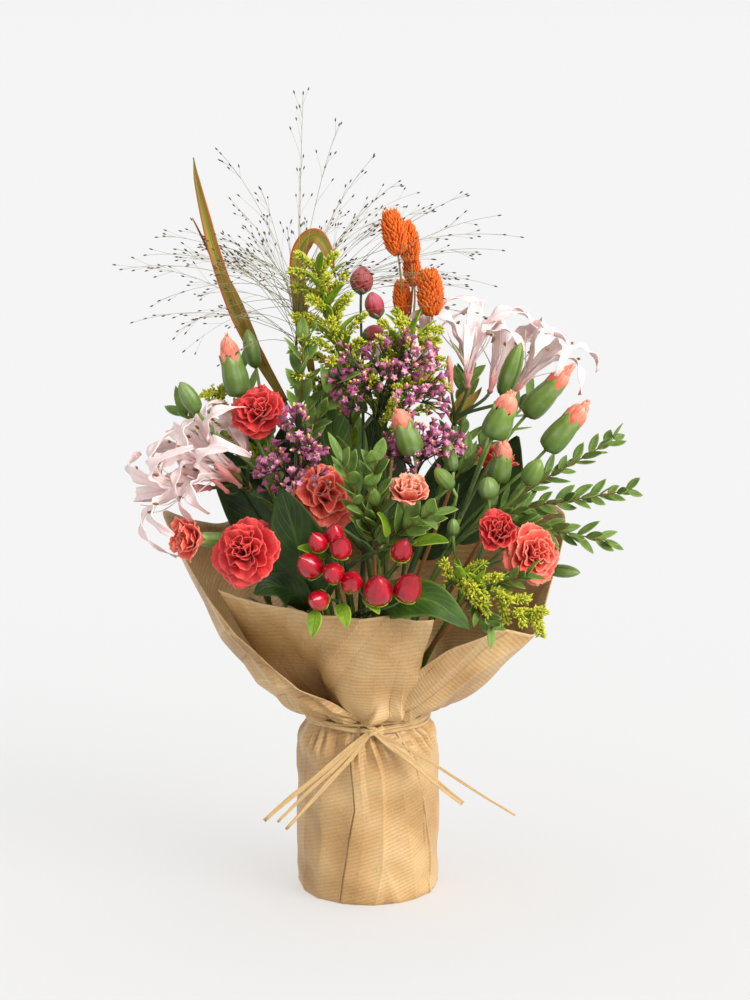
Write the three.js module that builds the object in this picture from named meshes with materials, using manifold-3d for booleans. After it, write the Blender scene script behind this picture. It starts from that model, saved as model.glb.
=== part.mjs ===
// A hand-tied mixed bouquet that stands on its own water pack, in kraft paper tied with raffia.
// Millimetres, +Z up, +Y away from the viewer. The origin is on the floor, under the middle of the tie.
//
// The paper sleeve carries the water pack, the pack's plain holes carry the stems, and each stem carries
// its blooms, buds, berries and leaves. Flowers, leaves and grasses of one stem are fused into one solid.
import * as THREE from "three";
import Module from "manifold-3d";

const wasm = await Module();
wasm.setup();
const { Manifold, Mesh: SolidMesh } = wasm;

// ---- Driving dimensions ----

const GAP = 0.35; // between pieces that touch
const ROOM = 0.55; // kept between the leaves and florets of neighbouring plants
const PAPER = 1.0; // thickness of the crumpled kraft paper
const SLEEVE_TOP = 104; // height of the sleeve's shoulder
const NECK = { radius: 35.8, low: 107.2, high: 115 };
const TIE = { low: 107.8, high: 112, width: 2.2 };
const STEM_FOOT = 14; // height of the cut stem ends inside the water pack
const WATER_TOP = 117;
const COLUMNS = 24; // faces round the paper and the pack
const LEAF = 0.9; // thickness of a small leaf or petal at its middle
const SMALLEST_STEP = 0.02; // finer slivers left by fusing are smoothed away

const COLOURS = {
  kraft: 0xcfa878,
  water: 0xdfe8e6,
  raffia: 0xd9b67e,
  coral: 0xe0482f,
  salmon: 0xf08f6a,
  calyx: 0x7aa560,
  stem: 0x5f8240,
  nerine: 0xf3d9d6,
  phalaris: 0xe2660f,
  straw: 0x8d7a3c,
  strap: 0x84782c,
  goldenrod: 0xb4ba26,
  limonium: 0xb0589a,
  hypericum: 0xbe1436,
  crimson: 0xb8203f,
  broadleaf: 0x2f5a2c,
  eucalyptus: 0x6f9360,
};

// ---- Vectors and random draws ----

const vec = (x, y, z) => new THREE.Vector3(x, y, z);
const at = ([x, y, z]) => vec(x, y, z);
const UP = vec(0, 0, 1);
const radians = THREE.MathUtils.degToRad;
const lerp = THREE.MathUtils.lerp;

// A repeatable stream of numbers from 0 to 1.
function seeded(seed) {
  let state = seed;
  return () => {
    state = (state + 0x6d2b79f5) | 0;
    let t = Math.imul(state ^ (state >>> 15), 1 | state);
    t = (t + Math.imul(t ^ (t >>> 7), 61 | t)) ^ t;
    return ((t ^ (t >>> 14)) >>> 0) / 4294967296;
  };
}

// Two unit vectors square to a direction: the first lies level where it can.
function sideways(direction, hint = UP) {
  const side = new THREE.Vector3().crossVectors(direction, hint);
  if (side.lengthSq() < 1e-4) side.crossVectors(direction, vec(0, 1, 0.1));
  side.normalize();
  return [side, new THREE.Vector3().crossVectors(side, direction).normalize()];
}

// A frame of axes at a point: w along the direction, u and v square to it, turned round it by an angle.
function axesAt(origin, direction, turn = 0) {
  const w = direction.clone().normalize();
  const [side, lift] = sideways(w);
  const u = side.clone().applyAxisAngle(w, turn);
  const v = lift.clone().applyAxisAngle(w, turn);
  return {
    w,
    point: (a, b, c) =>
      origin.clone().addScaledVector(u, a).addScaledVector(v, b).addScaledVector(w, c),
  };
}

// The direction that leans away from an axis by a tilt, on the side given by an azimuth.
function leaning(axis, azimuth, tilt) {
  const frame = axesAt(vec(0, 0, 0), axis);
  return frame.point(
    Math.sin(tilt) * Math.cos(azimuth),
    Math.sin(tilt) * Math.sin(azimuth),
    Math.cos(tilt),
  );
}

// ---- Solids ----

// A closed solid from vertices and triangles, turned face out.
function solidFrom(points, triangles) {
  const made = (faces) =>
    new Manifold(
      new SolidMesh({
        numProp: 3,
        vertProperties: new Float32Array(points.flatMap((p) => [p.x, p.y, p.z])),
        triVerts: new Uint32Array(faces.flat()),
      }),
    );
  const first = made(triangles);
  return first.volume() > 0 ? first : made(triangles.map(([a, b, c]) => [a, c, b]));
}

// A skin through closed rings of equal length. A ring of one point is a tip, any other end a flat cap.
// Mirrored rings split every other quad the other way, so both faces of a thin leaf bend along one line.
function loft(rings, mirrored = false) {
  const points = rings.flat();
  const starts = [];
  rings.reduce((sum, ring) => (starts.push(sum), sum + ring.length), 0);
  const triangles = [];
  for (let r = 0; r + 1 < rings.length; r += 1) {
    const [a, b] = [starts[r], starts[r + 1]];
    const count = Math.max(rings[r].length, rings[r + 1].length);
    for (let i = 0; i < count; i += 1) {
      const j = (i + 1) % count;
      if (rings[r].length === 1) triangles.push([a, b + j, b + i]);
      else if (rings[r + 1].length === 1) triangles.push([a + i, a + j, b]);
      else if (mirrored && i % 2) triangles.push([a + i, a + j, b + i], [a + j, b + j, b + i]);
      else triangles.push([a + i, a + j, b + j], [a + i, b + j, b + i]);
    }
  }
  const cap = (start, count, flip) => {
    for (let i = 1; i + 1 < count; i += 1)
      triangles.push(flip ? [start, start + i + 1, start + i] : [start, start + i, start + i + 1]);
  };
  cap(starts[0], rings[0].length, true);
  cap(starts.at(-1), rings.at(-1).length, false);
  return solidFrom(points, triangles);
}

// A round bar along a line of points, with a radius at each.
function bar(points, radii, sides = 5) {
  let lift = null;
  const rings = points.map((point, i) => {
    const ahead = points[Math.min(i + 1, points.length - 1)];
    const behind = points[Math.max(i - 1, 0)];
    const along = ahead.clone().sub(behind).normalize();
    lift = lift
      ? lift.addScaledVector(along, -lift.dot(along)).normalize()
      : sideways(along, vec(0.2, 1, 0.3))[1];
    const side = new THREE.Vector3().crossVectors(along, lift);
    const radius = Array.isArray(radii) ? radii[i] : radii;
    if (radius === 0) return [point];
    return Array.from({ length: sides }, (_, k) => {
      const angle = (2 * Math.PI * k) / sides;
      return point
        .clone()
        .addScaledVector(lift, radius * Math.cos(angle))
        .addScaledVector(side, radius * Math.sin(angle));
    });
  });
  return loft(rings);
}

// A body of revolution about a frame's w axis. Profile rows are [radius, height], and radius 0 is a tip.
function turned(frame, profile, sides, ridge = 0) {
  return loft(
    profile.map(([radius, height]) =>
      radius === 0
        ? [frame.point(0, 0, height)]
        : Array.from({ length: sides }, (_, k) => {
            const angle = (2 * Math.PI * k) / sides;
            const r = radius * (1 + (k % 2 ? -ridge : ridge));
            return frame.point(r * Math.cos(angle), r * Math.sin(angle), height);
          }),
    ),
  );
}

// A thin lens whose outline [across, along] is laid on a curved surface: sharp at its edge, thick inside.
function lens(outline, surface, middle = [0, 0.5], thick = LEAF) {
  const centre = surface(...middle);
  const step = 0.05;
  const across = surface(middle[0] + step, middle[1]).sub(centre);
  const along = surface(middle[0], middle[1] + step).sub(centre);
  const normal = across.cross(along).normalize();
  const points = outline.map(([u, v]) => surface(u, v));
  const count = points.length;
  points.push(centre.clone().addScaledVector(normal, thick / 2));
  points.push(centre.clone().addScaledVector(normal, -thick / 2));
  const triangles = [];
  for (let i = 0; i < count; i += 1) {
    const j = (i + 1) % count;
    triangles.push([i, j, count], [j, i, count + 1]);
  }
  return solidFrom(points, triangles);
}

// The surface of a leaf: u from -1 to 1 across, v from 0 to 1 along, bowed down and folded up at its edges.
function leafSurface(root, direction, face, { length, width, bow = 0.15, fold = 0.12 }) {
  const along = direction.clone().normalize();
  const [side] = sideways(along, face);
  const normal = new THREE.Vector3().crossVectors(side, along).normalize();
  return (u, v) =>
    root
      .clone()
      .addScaledVector(along, length * v)
      .addScaledVector(side, (width / 2) * u)
      .addScaledVector(normal, length * bow * (v - 1.3 * v * v) + width * fold * Math.abs(u));
}

// A band along a path of points, thin at both edges and ridged along its middle. A width of 0 is a tip.
function band(points, widths, face, { thick = LEAF, fold = 0, wave = 0 } = {}) {
  return loft(
    points.map((point, i) => {
      const ahead = points[Math.min(i + 1, points.length - 1)];
      const behind = points[Math.max(i - 1, 0)];
      const along = ahead.clone().sub(behind).normalize();
      const [side] = sideways(along, face);
      const normal = new THREE.Vector3().crossVectors(side, along).normalize();
      const half = widths[i] / 2;
      if (half === 0) return [point];
      const ripple = wave * (i % 2 ? 1 : -1);
      const place = (a, b) => point.clone().addScaledVector(side, a).addScaledVector(normal, b);
      const edges = [place(-half, fold * half + ripple), place(half, fold * half - ripple)];
      return fold
        ? [place(0, thick / 2), edges[1], place(0, -thick / 2), edges[0]]
        : [edges[0], place(0, thick), edges[1]];
    }),
    fold > 0,
  );
}

// Points on a cubic curve that leaves a along one direction and reaches b along another.
function bend(a, leave, b, arrive, steps, reach = 0.36) {
  const pull = a.distanceTo(b) * reach;
  return new THREE.CubicBezierCurve3(
    a,
    a.clone().addScaledVector(leave.clone().normalize(), pull),
    b.clone().addScaledVector(arrive.clone().normalize(), -pull),
    b,
  ).getPoints(steps);
}

// ---- Plants: each is one named solid that stays clear of the others ----

const bouquet = new THREE.Group();
const claimed = [];

const near = (a, b, gap) =>
  a.min.every((low, i) => low - gap < b.max[i]) && b.min.every((low, i) => low - gap < a.max[i]);

class Plant {
  constructor(name, colour, roughness = 0.6) {
    Object.assign(this, { name, colour, roughness, pieces: [] });
  }

  // A piece that the plant can't do without.
  add(piece) {
    this.pieces.push(piece);
    claimed.push({ owner: this.name, piece, box: piece.boundingBox() });
    return this;
  }

  // Room that a later piece of this plant will fill.
  reserve(piece) {
    claimed.push({ owner: this.name, piece, box: piece.boundingBox() });
  }

  clear(piece) {
    const box = piece.boundingBox();
    return claimed.every(
      (other) =>
        other.owner === this.name ||
        !near(box, other.box, ROOM) ||
        piece.minGap(other.piece, ROOM) >= ROOM,
    );
  }

  // Adds the first of several ways to grow a leaf or floret that stays clear of the other plants.
  offer(...ways) {
    for (const way of ways) {
      const piece = way();
      if (this.clear(piece)) {
        this.add(piece);
        return true;
      }
    }
    return false;
  }

  // Adds the first way that is clear, or the first of all where none is.
  grow(...ways) {
    if (!this.offer(...ways)) this.add(ways[0]());
  }

  // The pieces as one solid. Hollows that fusing seals are filled, and loose scraps are dropped.
  finish() {
    const bodies = Manifold.union(this.pieces).simplify(SMALLEST_STEP).decompose();
    const body = bodies.reduce((best, next) => (next.volume() > best.volume() ? next : best));
    addNode(this.name, body, this.colour, this.roughness);
  }
}

function addNode(name, body, colour, roughness) {
  const { vertProperties, triVerts, numProp } = body.getMesh();
  if (numProp !== 3) throw new Error(`${name} carries more than positions`);
  const geometry = new THREE.BufferGeometry();
  geometry.setAttribute("position", new THREE.BufferAttribute(vertProperties, 3));
  geometry.setIndex(new THREE.BufferAttribute(triVerts, 1));
  geometry.computeVertexNormals();
  const mesh = new THREE.Mesh(
    geometry,
    new THREE.MeshStandardMaterial({ color: colour, roughness, metalness: 0, flatShading: true }),
  );
  mesh.name = name;
  bouquet.add(mesh);
}

// ---- Kraft paper: a sleeve round the water pack, opening above the tie into overlapping flaps ----

// Radius of the sleeve at some angles: flat facets at the front left, rounded elsewhere.
const SLEEVE_RADII = [
  [-180, 40],
  [-156, 37],
  [-130, 38],
  [-112, 42],
  [-93, 42.5],
  [-60, 42],
  [-34, 42],
  [-10, 41.5],
  [20, 40.5],
  [55, 40],
  [90, 39],
  [125, 39],
  [155, 40],
  [180, 40],
];

// A value that runs straight between rows of [key, value, ...]
function between(rows, key, column = 1) {
  const next = rows.findIndex((row) => row[0] >= key);
  if (next <= 0) return rows[next === 0 ? 0 : rows.length - 1][column];
  const [a, b] = [rows[next - 1], rows[next]];
  return lerp(a[column], b[column], (key - a[0]) / (b[0] - a[0]));
}

const ring = (height, radiusAt, columns = COLUMNS) =>
  Array.from({ length: columns }, (_, k) => {
    const degrees = (360 * k) / columns - 180;
    const radius = radiusAt(degrees);
    return vec(radius * Math.cos(radians(degrees)), radius * Math.sin(radians(degrees)), height);
  });

const sleeveRadius = (degrees) => between(SLEEVE_RADII, degrees);

function sleeve() {
  const outside = [
    [0, (r) => r - 2],
    [3, (r) => r],
    [94, (r) => r - 0.3],
    [SLEEVE_TOP, (r) => r - 2.4],
    [NECK.low, () => NECK.radius],
    [NECK.high, () => NECK.radius],
  ];
  const rings = [[vec(0, 0, 0)]];
  for (const [z, shape] of outside) rings.push(ring(z, (d) => shape(sleeveRadius(d))));
  for (const [z, shape] of outside.toReversed()) {
    const height = z === 0 ? PAPER : z;
    rings.push(ring(height, (d) => shape(sleeveRadius(d)) - PAPER));
  }
  rings.push([vec(0, 0, PAPER)]);
  return loft(rings);
}

// The rim of each sheet above the tie: [degrees round, radius, height], walked clockwise from above.
const WRAP_RIM = [
  [260, 38, 118],
  [243, 54, 130],
  [221, 79, 152],
  [202, 104, 194],
  [190, 117, 222],
  [180, 125, 238],
  [168, 112, 226],
  [155, 101, 218],
  [122, 92, 222],
  [90, 88, 232],
  [60, 94, 228],
  [30, 108, 230],
  [14, 118, 234],
  [5, 123, 229],
  [-3, 109, 190],
  [-12, 104, 164],
  [-30, 90, 174],
  [-50, 74, 163],
  [-60, 54, 147],
  [-70, 45, 134],
];
const FRONT_RIM = [
  [204, 98, 197],
  [219, 92, 196],
  [237, 81, 191],
  [257, 74, 189],
  [280, 72.5, 188],
  [303, 71, 184],
];
const FLARE_FOOT = 112.9;
const FLARE_START = 115;

// A thin sheet from rows of points, with an even thickness either side that may differ from row to row.
function sheet(rows, thickness) {
  const [height, width] = [rows.length, rows[0].length];
  const clampTo = (i, count) => Math.max(0, Math.min(count - 1, i));
  const normalAt = (r, c) => {
    const across = rows[r][clampTo(c + 1, width)].clone().sub(rows[r][clampTo(c - 1, width)]);
    const rise = rows[clampTo(r + 1, height)][c].clone().sub(rows[clampTo(r - 1, height)][c]);
    return across.cross(rise).normalize();
  };
  const points = [];
  for (const side of [0.5, -0.5])
    rows.forEach((row, r) =>
      row.forEach((point, c) =>
        points.push(point.clone().addScaledVector(normalAt(r, c), side * thickness[r])),
      ),
    );
  const top = (r, c) => r * width + c;
  const bottom = (r, c) => height * width + r * width + c;
  const triangles = [];
  for (let r = 0; r + 1 < height; r += 1)
    for (let c = 0; c + 1 < width; c += 1) {
      const [a, b, d, e] = [
        [r, c],
        [r, c + 1],
        [r + 1, c + 1],
        [r + 1, c],
      ];
      triangles.push([top(...a), top(...b), top(...d)], [top(...a), top(...d), top(...e)]);
      triangles.push([bottom(...b), bottom(...a), bottom(...d)]);
      triangles.push([bottom(...d), bottom(...a), bottom(...e)]);
    }
  const edge = [];
  for (let c = 0; c < width; c += 1) edge.push([0, c]);
  for (let r = 1; r < height; r += 1) edge.push([r, width - 1]);
  for (let c = width - 2; c >= 0; c -= 1) edge.push([height - 1, c]);
  for (let r = height - 2; r > 0; r -= 1) edge.push([r, 0]);
  edge.forEach((cell, i) => {
    const next = edge[(i + 1) % edge.length];
    triangles.push([top(...next), top(...cell), bottom(...cell)]);
    triangles.push([top(...next), bottom(...cell), bottom(...next)]);
  });
  return solidFrom(points, triangles);
}

// A flap rises from inside the neck's wall to its rim: outwards first, then steeper, as pushed paper does.
// Its columns stand at the neck's own angles, and at both ends of its rim.
function flap(rim, steepness, steps) {
  const [first, last] = [Math.min(rim[0][0], rim.at(-1)[0]), Math.max(rim[0][0], rim.at(-1)[0])];
  const ordered = rim.toSorted((a, b) => a[0] - b[0]);
  const pitch = 360 / COLUMNS;
  const columns = [first];
  for (let d = pitch * (Math.floor(first / pitch) + 1); d < last; d += pitch) columns.push(d);
  columns.push(last);
  const rows = Array.from({ length: steps + 1 }, (_, i) => i / steps);
  return sheet(
    rows.map((s) =>
      columns.map((degrees) => {
        const angle = radians(degrees);
        const r = lerp(NECK.radius - PAPER / 2, between(ordered, degrees), s);
        const z = s === 0 ? FLARE_FOOT : lerp(FLARE_START, between(ordered, degrees, 2), s ** steepness);
        return vec(r * Math.cos(angle), r * Math.sin(angle), z);
      }),
    ),
    rows.map((s) => (s === 0 ? PAPER / 2 : PAPER)),
  );
}

function kraftPaper() {
  new Plant("kraft_paper_wrap", COLOURS.kraft, 0.85)
    .add(sleeve())
    .add(flap(WRAP_RIM, 1.8, 4))
    .add(flap(FRONT_RIM, 1.5, 3))
    .finish();
}

// ---- Raffia: a ring of two strands round the neck, a knot in front, and five tails ----

const KNOT = [3, -39.6, 110];
const RAFFIA_TAILS = [
  { bend: [-22, -47, 92], tip: [-62, -55, 58], width: 3.2 },
  { bend: [-19, -48, 90], tip: [-54, -56, 58], width: 2.6 },
  { bend: [-15, -49, 88], tip: [-49, -57, 54], width: 3 },
  { bend: [24, -47, 94], tip: [57, -51, 68], width: 4 },
  { bend: [34, -48, 96], tip: [88, -60, 63], width: 2.2 },
];

function raffia() {
  const plant = new Plant("raffia_tie", COLOURS.raffia, 0.7);
  const inner = NECK.radius + GAP;
  const outer = inner + TIE.width;
  const rounded = [
    [inner, TIE.low],
    [outer, TIE.low + 0.6],
    [outer, TIE.high - 0.6],
    [inner, TIE.high],
  ];
  plant.add(solidRing(rounded));
  const knot = axesAt(at(KNOT), vec(1, 0, 0));
  plant.add(turned(knot, [[0, -6], [3.4, -2.5], [3.4, 2.5], [0, 6]], 5));
  for (const tail of RAFFIA_TAILS) {
    const path = new THREE.QuadraticBezierCurve3(at(KNOT), at(tail.bend), at(tail.tip)).getPoints(4);
    const widths = path.map((_, i) => (i < 4 ? tail.width : tail.width * 0.6));
    plant.add(band(path, widths, vec(0, -1, 0.3), { thick: 1 }));
  }
  plant.finish();
}

// A closed ring from a profile of [radius, height], with the same faces round as the neck that it hugs.
function solidRing(profile) {
  const points = profile.flatMap(([radius, height]) => ring(height, () => radius));
  const triangles = [];
  profile.forEach((_, p) => {
    const q = (p + 1) % profile.length;
    for (let k = 0; k < COLUMNS; k += 1) {
      const l = (k + 1) % COLUMNS;
      const [a, b, c, d] = [p * COLUMNS + k, p * COLUMNS + l, q * COLUMNS + l, q * COLUMNS + k];
      triangles.push([a, b, c], [a, c, d]);
    }
  });
  return solidFrom(points, triangles);
}

// ---- Stems: straight in the water, bunched at the tie, then fanning out ----

const SLOT_RINGS = [
  { radius: 0, count: 1 },
  { radius: 7.6, count: 6 },
  { radius: 15.2, count: 12 },
  { radius: 22.6, count: 17 },
  { radius: 29.6, count: 22 },
];
const SLOPE_SHARE = 34; // how far out at the tie a stem sits, for each unit of its slope
const freeSlots = SLOT_RINGS.flatMap(({ radius, count }) =>
  Array.from({ length: count }, (_, k) => {
    const angle = (2 * Math.PI * (k + 0.25)) / count;
    return [radius * Math.cos(angle), radius * Math.sin(angle)];
  }),
);
const stemHoles = [];

// Free slots at the tie, nearest first to where a stem leans: the flatter its lean, the further out.
function slotsToward([x, y, z]) {
  const reach = Math.hypot(x, y) + 0.01;
  const out = Math.min(SLOT_RINGS.at(-1).radius, (SLOPE_SHARE * reach) / (z - WATER_TOP));
  const far = ([a, b]) => Math.hypot(a - (x * out) / reach, b - (y * out) / reach);
  return freeSlots.toSorted((a, b) => far(a) - far(b)).slice(0, 8);
}

// A main stem from the water to its fork. Returns its curved stretch, for branches to leave from.
function mainStem(plant, fork, { radius = 1.7, lean = null, steps = 3, tip = 0.75 } = {}) {
  const end = at(fork);
  const stemFrom = ([x, y]) => {
    const neck = vec(x, y, WATER_TOP + 1);
    const arrive = lean ? at(lean) : end.clone().sub(neck);
    const curve = bend(neck, vec(x * 0.006, y * 0.006, 1), end, arrive, steps);
    const radii = curve.map((_, i) => radius * lerp(1, tip, i / steps));
    return { curve, solid: bar([vec(x, y, STEM_FOOT), ...curve], [radius, ...radii], 4) };
  };
  const slots = slotsToward(fork);
  const slot = slots.find((place) => plant.clear(stemFrom(place).solid)) ?? slots[0];
  freeSlots.splice(freeSlots.indexOf(slot), 1);
  stemHoles.push({ slot, radius });
  const { curve, solid } = stemFrom(slot);
  plant.add(solid);
  return curve;
}

// The point and the direction at a share of a curve.
function along(curve, share) {
  const place = share * (curve.length - 1);
  const i = Math.min(Math.floor(place), curve.length - 2);
  return {
    point: curve[i].clone().lerp(curve[i + 1], place - i),
    direction: curve[i + 1].clone().sub(curve[i]).normalize(),
  };
}

// A head on its stalk, as one skin: the stalk leaves a curve at a share of it, meets the head along the
// head's own axis, and goes on through the head's profile rows of [radius, height].
function stalkedHead(plant, curve, share, head, { radius = 1, steps = 2, sides = 5 } = {}) {
  const way = (shift, reach) => () => {
    const start = along(curve, Math.max(0.1, share + shift));
    const foot = head.frame.point(0, 0, head.profile[0][1]);
    const path = bend(start.point, start.direction, foot, head.frame.w, steps, reach);
    const beyond = head.profile.slice(1).map(([, height]) => head.frame.point(0, 0, height));
    const radii = [...path.map(() => radius), ...head.profile.slice(1).map(([r]) => r)];
    return bar([...path, ...beyond], radii, sides);
  };
  const reaches = [0.3, 0.5, 0.15, 0.7];
  plant.grow(...[0, -0.12, -0.25, -0.4].flatMap((shift) => reaches.map((reach) => way(shift, reach))));
}

// A bare stalk to a point, along a direction.
function stalk(plant, curve, share, end, arrive, radius, steps = 2) {
  const frame = axesAt(end, arrive);
  stalkedHead(plant, curve, share, { frame, profile: [[radius, 0]] }, { radius, steps, sides: 3 });
}

function waterPack() {
  const inside = (drop) => (d) => sleeveRadius(d) - PAPER - GAP - drop;
  const throat = NECK.radius - PAPER - 1;
  const bottom = PAPER + GAP;
  const few = COLUMNS / 2;
  let pack = loft([
    [vec(0, 0, bottom)],
    ring(bottom, inside(2.6), few),
    ring(12, inside(0.4), few),
    ring(88, inside(0.8), few),
    ring(SLEEVE_TOP - 2, inside(2.6), few),
    ring(NECK.low - 1, () => throat, few),
    ring(WATER_TOP, () => throat, few),
    [vec(0, 0, WATER_TOP)],
  ]);
  for (const { slot, radius } of stemHoles) {
    const ends = [STEM_FOOT - GAP, WATER_TOP + 1].map((z) => vec(...slot, z));
    pack = pack.subtract(bar(ends, radius + GAP * Math.SQRT2, 4));
  }
  addNode("water_pack", pack, COLOURS.water, 0.2);
}

// ---- Spray carnations ----

const BLOOM_NECK = 4.4; // radius where petals leave the calyx
const PETAL_OUTLINE = [
  [0, 0.1],
  [0.95, 0.72],
  [0.42, 1.04],
  [-0.3, 0.94],
  [-0.95, 0.8],
];

// Rings of ruffled petals round a smaller heart, opening along the axis.
function carnationBloom(name, { centre, axis, size, rings = [5, 3, 2] }, seed) {
  const random = seeded(seed);
  const facing = at(axis).normalize();
  const r = size / 2;
  const base = at(centre).addScaledVector(facing, -0.55 * r);
  const frame = axesAt(base, facing);
  const plant = new Plant(name, COLOURS.coral, 0.55);
  plant.add(
    turned(frame, [[BLOOM_NECK, 0], [0.6 * r, 0.55 * r], [0.4 * r, 1.02 * r], [0, 1.1 * r]], 5),
  );
  rings.forEach((count, layer) => {
    const tilt = radians([76, 48, 24][layer]);
    const reach = r * [0.98, 0.98, 0.92][layer];
    const lift = r * [0.25, 0.38, 0.45][layer];
    for (let k = 0; k < count; k += 1) {
      const azimuth = (2 * Math.PI * (k + 0.37 * layer + 0.2 * random())) / count;
      const direction = leaning(facing, azimuth, tilt * (0.92 + 0.16 * random()));
      const root = frame.point(0, 0, lift).addScaledVector(direction, 0.12 * r);
      const shape = { length: reach, width: r * 1.05, bow: 0.16, fold: 0.1 * (k % 2 ? 1 : -1) };
      plant.add(lens(PETAL_OUTLINE, leafSurface(root, direction, facing, shape), [0, 0.6], 1.4));
    }
  });
  plant.finish();
  return { base: base.addScaledVector(facing, -GAP), facing };
}

// The green cup under a bloom: it ends where the petals start.
function calyxCup(base, facing, { length = 19, width = 9.6 } = {}) {
  const r = width / 2;
  return {
    frame: axesAt(base, facing),
    profile: [[1, -length], [0.85 * r, 2 - length], [0.95 * r, 0]],
  };
}

// A bud that is opening: a long green calyx with the petals' tip standing out of it as a node of its own.
function colouredBud(name, { foot, tip, width }) {
  const facing = at(tip).sub(at(foot));
  const length = facing.length();
  const frame = axesAt(at(foot), facing);
  const r = width / 2;
  const rim = 0.68 * length;
  const mouth = 0.72 * r;
  new Plant(name, COLOURS.salmon, 0.55)
    .add(turned(frame, [[mouth * 0.92, rim + GAP], [0.78 * r, 0.86 * length], [0, length]], 6, 0.09))
    .finish();
  return { frame, profile: [[1, 0], [0.75 * r, 1.5], [r, 0.35 * length], [mouth, rim]] };
}

function greenBud({ foot, tip, width }) {
  const facing = at(tip).sub(at(foot));
  const length = facing.length();
  const r = width / 2;
  return {
    frame: axesAt(at(foot), facing),
    profile: [[1, 0], [0.9 * r, 0.2 * length], [0.85 * r, 0.65 * length], [0, length]],
  };
}

// Each spray: where its main stem forks, and how far along that stem each head branches off.
const CARNATION_SPRAYS = [
  {
    name: "carnation_left",
    fork: [-58, -44, 188],
    blooms: [
      { centre: [-72, -78, 230], axis: [-0.35, -0.85, 0.42], size: 39, from: 0.95 },
      { centre: [-104, -60, 233], axis: [-0.88, -0.4, 0.2], size: 25, rings: [4, 3], from: 1 },
    ],
    leaves: [
      { from: 0.62, direction: [-0.4, -0.5, 0.9], length: 34 },
      { from: 0.85, direction: [0.2, -0.9, 0.8], length: 28 },
    ],
  },
  {
    name: "carnation_upper_left",
    fork: [-54, -30, 258],
    blooms: [{ centre: [-64, -40, 307], axis: [-0.15, -0.72, 0.65], size: 34, from: 0.86 }],
    coloured: [{ foot: [-76, -14, 309], tip: [-84, -15, 345], width: 16.5, from: 1 }],
    green: [
      { foot: [-100, -36, 304], tip: [-110, -38, 322], width: 11.5, from: 0.92 },
      { foot: [-67, 0, 324], tip: [-72, 1, 347], width: 10.5, from: 1 },
    ],
    leaves: [{ from: 0.8, direction: [-0.7, -0.3, 0.9], length: 36 }],
  },
  {
    name: "carnation_centre",
    fork: [8, -34, 224],
    blooms: [
      { centre: [-26, -47, 260], axis: [-0.05, -0.62, 0.75], size: 40, from: 0.8 },
      { centre: [24, -78, 264], axis: [0.05, -0.4, 0.9], size: 27, rings: [5, 3], from: 0.9 },
    ],
    coloured: [{ foot: [27, -60, 283], tip: [17, -61, 311], width: 16, from: 1 }],
    green: [
      { foot: [49, -72, 266], tip: [39, -76, 278], width: 10, from: 0.85 },
      { foot: [50, -54, 272], tip: [46, -54, 291], width: 9, from: 1 },
    ],
    leaves: [{ from: 0.7, direction: [0.5, -0.6, 0.9], length: 34 }],
  },
  {
    name: "carnation_right_high",
    fork: [56, -24, 240],
    coloured: [
      { foot: [73, -46, 290], tip: [84, -47, 317], width: 18.5, from: 0.95 },
      { foot: [94, -17, 298], tip: [121, -19, 328], width: 15.5, from: 0.9 },
      { foot: [105, -40, 282], tip: [129, -44, 311], width: 16.5, from: 0.8 },
      { foot: [77, -35, 261], tip: [81, -37, 287], width: 14.5, from: 0.7 },
    ],
    green: [
      { foot: [80, -12, 309], tip: [91, -12, 341], width: 13, from: 1 },
      { foot: [93, -52, 264], tip: [101, -55, 279], width: 13, from: 0.75 },
    ],
    leaves: [
      { from: 0.75, direction: [0.9, 0.2, 0.8], length: 38 },
      { from: 0.9, direction: [0.1, 0.3, 1], length: 34 },
    ],
  },
  {
    name: "carnation_right_low",
    fork: [62, -38, 204],
    blooms: [
      { centre: [99, -56, 223], axis: [0.45, -0.82, 0.25], size: 32, from: 1 },
      { centre: [76, -68, 239], axis: [-0.1, -0.85, 0.5], size: 28, rings: [5, 3], from: 0.95 },
      { centre: [77, 10, 263], axis: [0.15, 0.05, 1], size: 30, rings: [5, 3], from: 0.85 },
    ],
    green: [
      { foot: [71, -58, 257], tip: [70, -61, 270], width: 13, from: 0.9 },
      { foot: [108, -36, 208], tip: [126, -42, 208], width: 8.5, from: 0.8 },
      { foot: [50, -62, 236], tip: [50, -65, 246], width: 8, from: 0.75 },
    ],
    leaves: [{ from: 0.7, direction: [0.9, -0.4, 0.7], length: 34 }],
  },
];

let bloomCount = 0;
let tipCount = 0;

function carnationSpray(spray) {
  const plant = new Plant(spray.name, COLOURS.calyx, 0.5);
  const heads = [];
  for (const bloom of spray.blooms ?? []) {
    bloomCount += 1;
    const { base, facing } = carnationBloom(`carnation_bloom_${bloomCount}`, bloom, 40 + bloomCount);
    heads.push({ ...calyxCup(base, facing), from: bloom.from });
  }
  for (const bud of spray.coloured ?? []) {
    tipCount += 1;
    heads.push({ ...colouredBud(`carnation_bud_tip_${tipCount}`, bud), from: bud.from });
  }
  for (const bud of spray.green ?? []) heads.push({ ...greenBud(bud), from: bud.from, sides: 4 });
  for (const { frame, profile } of heads) plant.reserve(turned(frame, profile, 5));
  return () => {
    const curve = mainStem(plant, spray.fork, { radius: 1.8 });
    for (const head of heads) {
      stalkedHead(plant, curve, head.from, head, { radius: 1.1, sides: head.sides });
    }
    for (const leaf of spray.leaves) narrowLeaf(plant, curve, leaf);
    plant.finish();
  };
}

const NARROW_OUTLINE = [
  [0, 0],
  [1, 0.35],
  [0.7, 0.7],
  [0, 1],
  [-0.7, 0.7],
  [-1, 0.35],
];

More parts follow.
